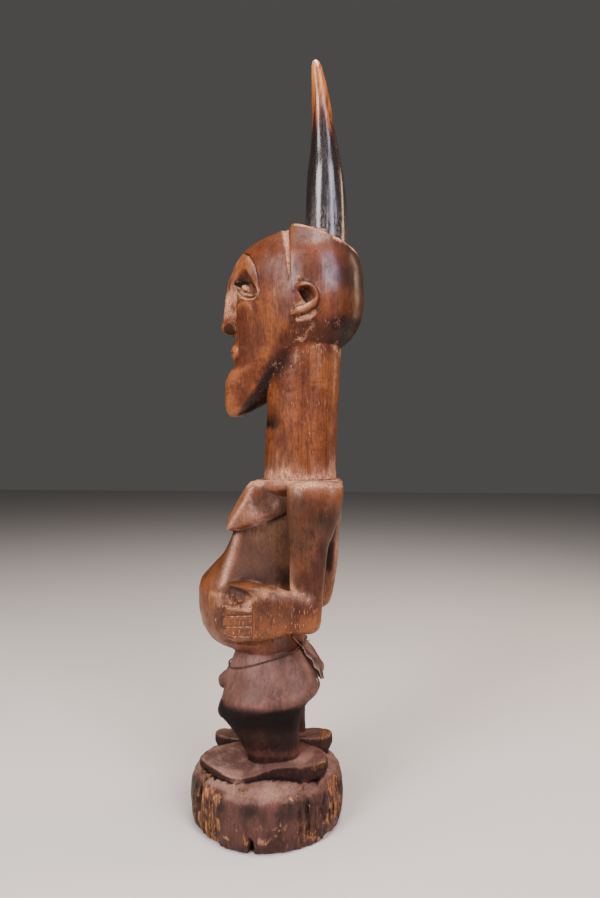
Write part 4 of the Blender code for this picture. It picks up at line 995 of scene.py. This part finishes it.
woodFinish = {
    # size of each pattern's lumps along x, y and z, its detail and how rough it is
    "patterns": {
        "grain": ((1.5, 1.5, 30), 4.0, 0.6),  # the wood's fibres run up the log
        "pores": ((0.9, 0.9, 6.0), 2.0, 0.55),  # short open pores, drawn wider than they are so that they show
        "clouds": ((26, 26, 40), 3.0, 0.55),
        "mottle": ((5, 5, 8), 5.0, 0.65),
        "speck": ((2.2, 2.2, 3.4), 4.0, 0.75),
        "scratch": ((0.9, 0.9, 5.5), 3.0, 0.65),
        "dust": ((1.5, 1.5, 2.2), 5.0, 0.75),
    },
    "painted": {
        "marks": ("crust", "dull", "bare", "dark"),
        "wear": ("rubbed", "dusty", "underArm", "tone"),
        "finish": ("polish", "flecked", "ruddy", "film"),
    },
    "masks": {
        "shade": (("", "tone", 0, 1, 0.06, 1.0),),
        "grimeShade": (("", "tone", 0.2, 0.8, 0.35, 1.0),),
        "flecks": (("", "scratch", 0.55, 0.66, 0, 1), ("MULTIPLY", "mottle", 0.40, 0.55, 0, 1),
                   ("MULTIPLY", "flecked")),
        "crustLeft": (("", "crust"), ("ADD", "flecks"), ("SUBTRACT", "dust", 0.32, 0.68, 0, 0.5)),
        "crusted": (("", "crustLeft", 0.02, 0.6, 0, 0.92),),
        "peeling": (("", "bare"), ("SUBTRACT", "mottle", 0.32, 0.68, 0, 0.6)),
        "peeled": (("", "peeling", 0.05, 0.5, 0, 1),),
        "dirty": (("", "crusted"), ("MAXIMUM", "dusty")),
        "matt": (("", "crusted"), ("MAXIMUM", "peeled"), ("MAXIMUM", "underArm"), ("MAXIMUM", "dark"),
                 ("MAXIMUM", "dusty", 1.4)),
        "touched": (("", "polish"), ("MAXIMUM", "rubbed", 0.6)),
        # the oil is rubbed to a skin where hands reach
        "handled": (("", "mottle", 0.34, 0.66, 1.0, 0.45), ("MULTIPLY", "touched", 0.9),
                    ("MULTIPLY", "matt", 0.0, 0.7, 1.0, 0.0)),
        "crumbled": (("", "crusted", 0.1, 0.9, 0.06, 0.55),),
    },
    "coats": {
        "warm": ("#592a15", ("#7a441e", "MIX", ("", "clouds", 0.40, 0.60, 0, 1)),
                 ("#411f12", "MIX", ("", "mottle", 0.45, 0.68, 0, 0.55)),
                 ("#36190d", "MIX", ("", "grain", 0.47, 0.62, 0, 0.5)),
                 ("#9c5a2b", "MIX", ("", "rubbed", 0.75))),
        "smoky": ("#472a22", ("#6d443a", "MIX", ("", "clouds", 0.4, 0.62, 0, 1)),
                  ("#865749", "MIX", ("", "mottle", 0.46, 0.70, 0, 0.4)),
                  ("#22120f", "MIX", ("", "grain", 0.50, 0.64, 0, 0.35))),
        "greyDust": ("#6e5447", ("#957564", "MIX", ("", "clouds", 0.35, 0.6, 0, 1)),
                     ("#43322a", "MIX", ("", "dust", 0.45, 0.6, 0, 0.4))),
        "dryDirt": ("#7a4e37", ("#c89877", "MIX", ("", "dust", 0.38, 0.62, 0, 1))),
        "grimy": ("#664935", ("#493326", "MIX", ("", "clouds", 0.38, 0.62, 0, 1)),
                  ("#33231a", "MIX", ("", "mottle", 0.46, 0.70, 0, 0.5)),
                  ("#2d1e16", "MIX", ("", "dust", 0.44, 0.64, 0, 0.45)), ("grimeShade", "MULTIPLY")),
        "rawWood": ("#9a6a42", ("#3f2516", "MIX", ("", "grain", 0.4, 0.62, 0, 1)),
                    ("#5d463a", "MIX", ("", "mottle", 0.42, 0.62, 0, 0.75))),
        "skin": (
            "warm", ("smoky", "MIX", ("", "dull")),
            ("#2a140b", "MIX", ("", "speck", 0.50, 0.62, 0, 0.42), ("MULTIPLY", "dull", 0, 1, 1.0, 0.6)),
            # painted shade and tone multiplied in, then a redder, darker tint that also holds painted shade
            # below the nape
            ("shade", "MULTIPLY"), ("#b5a0a2", "MULTIPLY", ("", "ruddy")),
            ("greyDust", "MIX", ("", "dusty"), ("MULTIPLY", "clouds", 0.3, 0.6, 0.6, 1.0)),
            # a pale tan layer, partly painted highlights along the ridges
            ("#b28975", "MIX", ("", "film"), ("MULTIPLY", "dust", 0.36, 0.62, 0.25, 1.0)),
            ("dryDirt", "MIX", ("", "crusted")), ("grimy", "MIX", ("", "underArm", 0.92)),
            ("rawWood", "MIX", ("", "peeled")), ("#2b1711", "MIX", ("", "pores", 0.6, 0.74, 0, 0.38)),
            # near-black painted shade in hollows, creases and gaps
            ("#0b0605", "MIX", ("", "dark")),
        ),
        "rough": (0.56, (0.46, "MIX", ("", "clouds", 0.35, 0.6, 0, 1)),
                  (0.60, "MIX", ("", "speck", 0.45, 0.62, 0, 0.5)), (0.95, "MIX", ("", "dirty")),
                  (0.80, "MIX", ("", "dark")), (0.85, "MIX", ("", "peeled")),
                  (0.85, "MIX", ("", "underArm", 0.8))),
    },
    # smoke and dirt dull the wood's own shine, and the oil's coat is blurred
    "shader": {"IOR": 1.5, "Specular IOR Level": 0.14, "Coat Roughness": 0.27},
    # what stands up from the surface: pattern, strength, depth in metres
    "relief": (("grain", 0.4, 0.0004), ("speck", 0.35, 0.0005), ("mottle", 0.35, 0.0010),
               ("dust", "crumbled", 0.0006)),
}


def carvedWood(finish):
    # Close-grained hardwood, cut with an adze and knife, oiled and handled: a low warm gloss on the
    # high places, dry tan dirt in the cuts, and dull smoke-dark wood below the waist; painted shade darkens its
    # hollows, gaps and undersides, and painted highlights lie along the breast's and belly's ridges.
    made, tree, shader, sources = startMaterial("oiledHardwood", finish)
    for socket, source in (("Base Color", "skin"), ("Roughness", "rough"), ("Coat Weight", "handled")):
        tree.links.new(sources[source], shader.inputs[socket])
    return made


def makeCarving(values):
    voxel = values["voxel"]
    mesh = settled(massesOf(values), "REMESH", mode="VOXEL", voxel_size=voxel)
    print("masses joined,", len(mesh.vertices), "points")
    co, _, edges = readMesh(mesh)
    writeMesh(mesh, averaged(co, edges, 2, values["smoothing"]))
    co, normals, _ = readMesh(mesh)
    writeMesh(mesh, carveDeep(co, normals))
    mesh = settled(mesh, "REMESH", mode="VOXEL", voxel_size=voxel)
    co, _, edges = readMesh(mesh)
    writeMesh(mesh, averaged(co, edges, 1, values["smoothing"]))
    print("deep cuts made")
    co, normals, _ = readMesh(mesh)
    writeMesh(mesh, carveFine(co, normals))
    triangles = sum(len(side.vertices) - 2 for side in mesh.polygons)
    if triangles > values["mostTriangles"]:
        mesh = settled(mesh, "DECIMATE", ratio=values["mostTriangles"] / triangles)
    print("fine cuts made")
    co, normals, edges = readMesh(mesh)
    for name, columns in zip(woodFinish["painted"], carvingMarks(co, normals, edges)):
        setMarks(mesh, name, columns)
    return addPiece("figureCarving", mesh, co, carvedWood(woodFinish), "figure")


figure = makeCarving(carving)


# The horn stands in its socket, leans a little to the front and tapers late.
hornShape = {
    "place": 51.5,  # y of its middle
    "radius": 18.0, "height": 158.0, "lean": 9.5,
    "taper": (  # share of the height, share of the radius
        (-0.09, 1.0), (0.06, 1.0), (0.21, 0.972), (0.36, 0.88), (0.49, 0.70), (0.65, 0.53), (0.81, 0.41),
        (0.92, 0.31), (0.97, 0.23), (0.99, 0.15), (1.0, 0.03),
    ),
    "colours": (  # share of the height, colour
        (0.0, "#1d1615"), (0.52, "#1d1412"), (0.64, "#3f2113"), (0.72, "#84491d"), (0.90, "#a9652c"),
        (1.0, "#bd8552"),
    ),
    "streakTints": ((0.35, "#6a5a52"), (0.62, "#ffffff")),
    "dustColour": "#5f4f48",
    "finish": {
        "patterns": {
            "streaks": ((2.6, 2.6, 70), 4.0, 0.5),  # growth fibres run up the horn
            "scratches": ((0.8, 0.8, 9), 3.0, 0.5),
            "dust": ((1.6, 1.6, 4.5), 5.0, 0.5),
        },
        "shader": {"IOR": 1.54, "Coat Weight": 0.5, "Coat Roughness": 0.22},  # years of handling
        "relief": (("scratches", 0.12, 0.0002), ("streaks", 0.15, 0.0005)),
    },
}


def polishedHorn(values):
    # Keratin from an antelope's horn, scraped and rubbed: almost black and glassy with long streaks of light,
    # amber where the solid tip lets light in, scratched and dusty where it meets the paste.
    made, tree, shader, sources = startMaterial("polishedKeratin", values["finish"])
    foot = (crownAt(values["place"]) + shoulder) * millimetre
    top = foot + values["height"] * millimetre
    height = addNode(tree, "SeparateXYZ", {0: sources["place"]}).outputs["Z"]
    spans = {}
    for name, value, low, high, least, most in (
        ("share", height, foot, top, 0, 1), ("wander", sources["streaks"], 0.3, 0.7, -0.10, 0.10),
        ("low", "share", 0.20, 0.0, 0, 1), ("loose", sources["dust"], 0.46, 0.76, 0, 1),
        ("glossy", sources["scratches"], 0.35, 0.75, 0.22, 0.38),
    ):
        spans[name] = addNode(tree, "MapRange", {
            "Value": spans.get(value, value), "From Min": low, "From Max": high, "To Min": least,
            "To Max": most}).outputs[0]
    along = addNode(tree, "Math", {"operation": "ADD", 0: spans["share"], 1: spans["wander"]}).outputs[0]
    keratin = addNode(tree, "ValToRGB", {0: along, "stops": values["colours"]}).outputs[0]
    streaked = addNode(tree, "ValToRGB", {0: sources["streaks"], "stops": values["streakTints"]})
    streaked = addNode(tree, "Mix", {"data_type": "RGBA", "blend_type": "MULTIPLY", 0: 0.55, 6: keratin,
                                     7: streaked.outputs[0]}).outputs[2]
    dusty = addNode(tree, "Math", {"operation": "MULTIPLY", 0: spans["low"], 1: spans["loose"]}).outputs[0]
    skin = addNode(tree, "Mix", {"data_type": "RGBA", 0: dusty, 6: streaked,
                                 7: colour(values["dustColour"])}).outputs[2]
    tree.links.new(skin, shader.inputs["Base Color"])
    rough = addNode(tree, "Mix", {0: dusty, 2: spans["glossy"], 3: 0.8}).outputs[0]
    tree.links.new(rough, shader.inputs["Roughness"])
    return made


def makeHorn(values):
    angle = np.arange(144) * 2 * math.pi / 144
    rings = []
    for share, width in eased(values["taper"], 0.008):
        flats = 1 + 0.010 * np.cos(5 * angle + 0.7 + share * 1.2) + 0.006 * np.cos(9 * angle + 2.0 - share)
        reach = values["radius"] * width * flats
        forward = values["lean"] * max(share, 0) ** 2.6
        y = values["place"] - reach * np.cos(angle) - forward
        level = crownAt(values["place"]) + values["height"] * share
        tilt = ramp(share, 0.12, 0.02) * carving["crownSlope"]  # the foot is cut to the crown's slope
        rings.append(np.stack([reach * np.sin(angle), y, level - tilt * (y - values["place"])], axis=1))
    shells = []
    addLoft(shells, rings)
    mesh = meshFrom("horn", shells)
    co, normals, _ = readMesh(mesh)
    up = (co[:, 2] - crownAt(values["place"])) / values["height"]
    worn = 0.10 * cloud(co, (1.6, 1.6, 70), 81) + 0.16 * cloud(co, (5, 5, 30), 82)
    scraped = 0.12 * np.abs(cloud(co, (1.1, 1.1, 6), 83)) + 0.10 * cloud(co, (2.5, 2.5, 3), 84)
    worn += ramp(up, 0.30, 0.05) * scraped
    co = co - normals * (worn * ramp(up, 1.0, 0.93))[:, None]
    return addPiece("antelopeHorn", mesh, co, polishedHorn(values), "horn")


makeHorn(hornShape)


# Dried paste packed round the horn's foot, widest at the sides.
pasteShape = {
    "frontWidth": 5.4, "sideWidth": 6.4, "backWidth": 2.0, "height": 3.4,
    "overlap": 0.8,  # how far it reaches in under the horn's skin
    "finish": {
        "patterns": {"crumbs": ((1.4, 1.4, 1.4), 6.0, 0.7), "lumps": ((6.0, 6.0, 6.0), 3.0, 0.5)},
        "shader": {"Roughness": 0.95, "Specular IOR Level": 0.25},
        "relief": (("crumbs", 0.8, 0.0008),),
    },
    "colours": ((0.34, "#43291c"), (0.5, "#86604a"), (0.66, "#b58f76")),
    "stains": ((0.4, "#8a6d5c"), (0.62, "#ffffff")),
}


def stainedMaterial(name, values, pattern, stain):
    # a material coloured by one pattern and stained by a broader one
    made, tree, shader, sources = startMaterial(name, values["finish"])
    tint = addNode(tree, "ValToRGB", {0: sources[pattern], "stops": values["colours"]}).outputs[0]
    stained = addNode(tree, "ValToRGB", {0: sources[stain], "stops": values["stains"]}).outputs[0]
    mixed = addNode(tree, "Mix", {"data_type": "RGBA", "blend_type": "MULTIPLY", 0: 0.8, 6: tint, 7: stained})
    tree.links.new(mixed.outputs[2], shader.inputs["Base Color"])
    return made


def driedPaste(values):
    # Earth and ash bound with oil, pressed on by hand and long dry: matt, tan and crumbly.
    return stainedMaterial("driedEarthPaste", values, "crumbs", "lumps")


def makePaste(values):
    angle = np.arange(260) * 2 * math.pi / 260
    ahead, aside = np.cos(angle), np.sin(angle)
    end = np.where(ahead > 0, values["frontWidth"], values["backWidth"])
    width = values["sideWidth"] + (end - values["sideWidth"]) * ahead**2
    inner = hornShape["radius"] - values["overlap"]
    rough = layered(np.stack([aside * 20, ahead * 20, 0 * angle], axis=1), (5, 5, 5), 91)
    width = width * (1 + 0.35 * rough)
    rings = []
    for t in np.linspace(0, 1, 26):
        reach = inner + (width + values["overlap"]) * t
        lift = values["height"] * (1 - t**2.2) * (1 + 0.4 * rough) - 0.7 * t
        y = hornShape["place"] - reach * ahead
        rings.append(np.stack([reach * aside, y, crownAt(y) + lift], axis=1))
    for index, reach, sunk in ((0, inner, 1.2), (len(rings) + 1, inner + width, 1.6)):  # its underside
        y = hornShape["place"] - reach * ahead
        rings.insert(index, np.stack([reach * aside, y, crownAt(y) - sunk], axis=1))
    rings = np.array(rings)
    levels, count = rings.shape[:2]
    order = np.arange(levels * count).reshape(levels, count)
    beside, above = np.roll(order, -1, axis=1), np.roll(order, -1, axis=0)
    quads = np.stack([order, above, np.roll(above, -1, axis=1), beside], axis=-1).reshape(-1, 4)
    mesh = meshFrom("paste", [(rings.reshape(-1, 3), quads.tolist())])
    co, normals, _ = readMesh(mesh)
    lumps = 0.5 * layered(co, (3.2, 3.2, 3.2), 92) + 0.35 * cloud(co, (1.3, 1.3, 1.3), 95)
    co = co + normals * lumps[:, None]
    return addPiece("crownPaste", mesh, co, driedPaste(values), "crown_paste")


makePaste(pasteShape)


# The waist cord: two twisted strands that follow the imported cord's line from the knot, round the hips and
# back to it, and a short tail that hangs behind.
cordShape = {
    "diameter": 1.6, "strand": 0.43, "pitch": 4.8,  # strand is one strand's radius
    "knotAt": (15.0, 36.0), "knotHeight": 106.5,  # x, y and h of the knot, behind the left hip
    "tail": ((16.0, 101), (17.5, 95), (19.0, 88), (20.0, 81), (19.5, 75), (18.5, 70)),  # x and h
    "finish": {
        "patterns": {"hairs": ((0.5, 0.5, 0.5), 4.0, 0.7), "stain": ((9.0, 9.0, 9.0), 2.0, 0.5)},
        "shader": {"Roughness": 0.8},
        "relief": (("hairs", 0.5, 0.0002),),
    },
    "colours": ((0.3, "#1d120d"), (0.52, "#4a3527"), (0.72, "#8a6a4f")),
    "stains": ((0.35, "#7d6a5e"), (0.65, "#ffffff")),
}


def behindFigure(tree, x, h):  # y of the carving's back at x and h
    hit = tree.ray_cast(Vector((x, 120, h + shoulder)) * millimetre, Vector((0, -1, 0)))[0]
    return hit.y / millimetre


def alongPath(path, guide):
    # which way a path runs at each point, and the way across both it and the guide
    runs = np.gradient(path, axis=0)
    runs /= np.linalg.norm(runs, axis=1)[:, None]
    across = np.cross(runs, guide)
    return runs, across / np.linalg.norm(across, axis=1)[:, None]


def tube(shells, path, radii, count=10):
    radii = np.broadcast_to(np.array(radii, float), (len(path),))
    runs, across = alongPath(path, (0.2, 0.3, 1.0))
    outward = np.cross(runs, across)
    side, ahead = roundedLoop(count, 2)
    rings = [place + radius * (side[:, None] * a + ahead[:, None] * b)
             for place, radius, a, b in zip(path, radii, across, outward)]
    addLoft(shells, rings)


def smoothLine(points, spacing):
    points = np.array(points, float)
    along = np.concatenate([[0], np.cumsum(np.linalg.norm(np.diff(points, axis=0), axis=1))])
    rows = eased(np.column_stack([along, points]), spacing)
    return rows[:, 1:]


def cordRoute(values, tree):
    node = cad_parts["waist_cord"]
    co = np.array([vertex.co for vertex in node.data.vertices]) / millimetre
    middle = (co[:, 1].max() + co[:, 1].min()) / 2
    turn = np.arctan2(co[:, 0], -(co[:, 1] - middle)) % (2 * math.pi)
    knotX, knotY = values["knotAt"]
    start = math.atan2(knotX, -(knotY - middle)) % (2 * math.pi)
    places = []
    for turned in np.linspace(0, 2 * math.pi, 61)[1:-1]:
        off = np.abs((turn - start + turned + math.pi) % (2 * math.pi) - math.pi)
        weight = bell(off, 0.075)
        places.append((co * weight[:, None]).sum(axis=0) / weight.sum())
    places = [place - (0, 0, shoulder) for place in places]
    knotH = values["knotHeight"]
    knot = np.array([knotX, behindFigure(tree, knotX, knotH) + 1.6, knotH])
    tail = [np.array([x, behindFigure(tree, x, h) + 1.1, h]) for x, h in values["tail"]]
    # the tail hangs from where it is pushed out, and doesn't follow the carving back in
    tail = [np.maximum(place, (-99, tail[max(i - 1, 0)][1] - 1.0, -99)) for i, place in enumerate(tail)]
    return smoothLine(places + [knot + (0, 0.6, 0)] + tail, 0.35), knot


def plantFibre(values):
    # Two strands of rolled bark fibre, smoke-dark and dry: dull, with pale hairs where the twist has rubbed.
    return stainedMaterial("twistedBarkFibre", values, "hairs", "stain")


def makeCord(values, tree, fibre):
    route, knot = cordRoute(values, tree)
    steps = np.linalg.norm(np.diff(route, axis=0), axis=1)
    along = np.concatenate([[0], np.cumsum(steps)])
    runs, across = alongPath(route, (0, 0, 1.0))
    upward = np.cross(across, runs)
    shells = []
    for phase in (0, math.pi):
        turn = along / values["pitch"] * 2 * math.pi + phase
        offset = values["diameter"] / 2 - values["strand"]
        strand = route + offset * (np.cos(turn)[:, None] * across + np.sin(turn)[:, None] * upward)
        tube(shells, strand, values["strand"], 8)
    mesh = meshFrom("cord", shells)
    cord = addPiece("waistCord", mesh, readMesh(mesh)[0], fibre, "waist_cord")
    # the knot: the cord passed twice through itself and pulled tight
    turn = np.linspace(0, 2 * math.pi, 140)
    loop = np.stack([np.sin(turn) + 2 * np.sin(2 * turn), -1.0 * np.sin(3 * turn),
                     np.cos(turn) - 2 * np.cos(2 * turn)], axis=1)
    shells = []
    tube(shells, knot + loop * (0.78, 0.85, 0.78) + (0, 0.4, 0), 0.72, 10)
    mesh = meshFrom("knot", shells)
    tied = addPiece("cordKnot", mesh, readMesh(mesh)[0], fibre)
    return knot


bodyTree = BVHTree.FromObject(figure, bpy.context.evaluated_depsgraph_get())
knotPlace = makeCord(cordShape, bodyTree, plantFibre(cordShape))


# Dry hide tied in with the cord: two narrow twisted strips, a curled flap and a tuft of frayed ends.
hideShape = {
    # x, h, lift off the carving, width, twist in degrees
    "strips": (
        ((24, 115.5, 0.9, 2.0, 10), (20.5, 110.5, 1.3, 2.8, 25), (17.5, 105.5, 2.6, 3.2, 50),
         (16.5, 98, 2.6, 3.4, 20), (16.5, 90, 2.6, 3.2, -20), (17.5, 83, 3.6, 2.4, -50),
         (18.5, 78.5, 4.2, 0.8, -60)),
        ((12.0, 108, 1.6, 2.2, -20), (11.5, 101, 1.8, 2.8, 10), (12.5, 93, 1.8, 3.0, 40),
         (15.0, 85.5, 2.8, 2.4, 60), (17.0, 80, 3.6, 0.8, 70)),
    ),
    "stripThickness": 1.1,
    # the flap's middle line: x, h, lift, width, how far its sides curl (degrees)
    "flap": ((15, 104, 2.6, 3.0, 30), (16, 100, 4.2, 7.5, 70), (17, 95, 6.4, 10.5, 120),
             (17.5, 90, 7.2, 11.0, 150), (18, 85.5, 7.0, 8.5, 120), (18.5, 81.5, 6.4, 4.0, 60),
             (19, 79.5, 6.0, 1.0, 20)),
    "flapThickness": 0.9,
    "frays": 26,
    "frayLength": (4.0, 9.0),
    "finish": {
        "patterns": {"stain": ((4.5, 4.5, 4.5), 5.0, 0.65)},
        "painted": {"marks": ("pale",)},
        "shader": {"Roughness": 0.62},
    },
    "cracks": 1.1,  # millimetres between the cracks in its grain
    "colours": ((0.35, "#160e0c"), (0.52, "#38231b"), (0.70, "#6d4a38")),
    # the pale of raw edges and frays, also a painted highlight along the edges
    "paleAndHighlightColour": "#a98468",
}


def dryHide(values):
    # Untanned skin dried hard, with its grain cracked: dark brown, dull, with pale raw edges and hairs; the pale
    # along the strips' and flap's edges is also a painted highlight.
    made, tree, shader, sources = startMaterial("driedRawhide", values["finish"])
    grain = addNode(tree, "TexVoronoi", {"Vector": sources["place"], "Scale": 1000 / values["cracks"],
                                         "feature": "DISTANCE_TO_EDGE"})
    tint = addNode(tree, "ValToRGB", {0: sources["stain"], "stops": values["colours"]}).outputs[0]
    mixed = addNode(tree, "Mix", {"data_type": "RGBA", 0: sources["pale"], 6: tint,
                                  7: colour(values["paleAndHighlightColour"])})
    tree.links.new(mixed.outputs[2], shader.inputs["Base Color"])
    bump = addNode(tree, "Bump", {"Height": grain.outputs["Distance"], "Strength": 0.5, "Distance": 0.0004})
    tree.links.new(bump.outputs[0], shader.inputs["Normal"])
    return made


def makeHide(values, tree, knot):
    shells, pale = [], []

    def middleLine(rows):  # x, y, h, width and turn in radians, close together
        return smoothLine([[x, behindFigure(tree, x, h) + lift, h, width, math.radians(turn)]
                           for x, h, lift, width, turn in rows], 0.5)

    for strip in values["strips"]:
        rows = middleLine(strip)
        path, widths, turns = rows[:, :3], rows[:, 3], rows[:, 4]
        runs, across = alongPath(path, (0, 1.0, 0))
        outward = np.cross(across, runs)
        side, thick = roundedLoop(20, 2.4)
        rings = []
        for spot, width, turn, a, b in zip(path, widths, turns, across, outward):
            flat = side[:, None] * width / 2
            deep = thick[:, None] * values["stripThickness"] / 2
            rings.append(spot + (flat * math.cos(turn) - deep * math.sin(turn)) * a
                         + (flat * math.sin(turn) + deep * math.cos(turn)) * b)
            # pale along each strip's edges: raw edge and painted highlight
            pale.extend(np.abs(side) ** 6 * 0.5)
        addLoft(shells, rings)
    # the curled flap, a thin shell bent round its middle line
    shares = np.linspace(-0.5, 0.5, 26)
    rings = []
    for x, y, h, width, curl in middleLine(values["flap"]):
        radius = width / max(curl, 0.05)
        angle = shares * curl
        wave = 0.5 * np.sin(shares * 9 + h * 0.7)
        y = y - radius * (1 - np.cos(angle)) + wave
        across = np.stack([x + radius * np.sin(angle), y, h + wave], axis=1)
        half = np.stack([np.sin(angle), np.cos(angle), 0 * angle], axis=1) * values["flapThickness"] / 2
        rings.append(np.concatenate([across + half, (across - half)[::-1]]))
        # pale along the flap's curled edges: raw edge and painted highlight
        pale.extend(np.tile(np.abs(shares * 2) ** 5 * 0.7, 2))
    addLoft(shells, rings)
    # frayed ends stand up from the knot
    chance = np.random.default_rng(7)
    for _ in range(values["frays"]):
        length = chance.uniform(*values["frayLength"])
        lean = np.array([chance.uniform(-0.6, 0.9), chance.uniform(0.35, 1.1), chance.uniform(-0.1, 1.2)])
        lean /= np.linalg.norm(lean)
        bend = chance.uniform(-1, 1, 3) * 0.45
        t = np.linspace(0, 1, 12)[:, None]
        path = knot + (0, 0.8, 0.5) + lean * length * t + bend * length * t**2 + 0.25 * np.sin(t * 9 + length)
        tube(shells, path, np.linspace(0.5, 0.12, 12) * chance.uniform(0.6, 1.1), 6)
        pale.extend(np.full(12 * 6, chance.uniform(0.35, 1.0)))
    mesh = meshFrom("hide", shells)
    none = np.zeros(len(pale))
    setMarks(mesh, "marks", [np.array(pale), none, none, none + 1])
    co, normals, _ = readMesh(mesh)
    co = co + normals * (0.16 * cloud(co, (1.6, 1.6, 1.6), 97))[:, None]
    return addPiece("hideScrap", mesh, co, dryHide(values), "hide_scrap")


makeHide(hideShape, bodyTree, knotPlace)
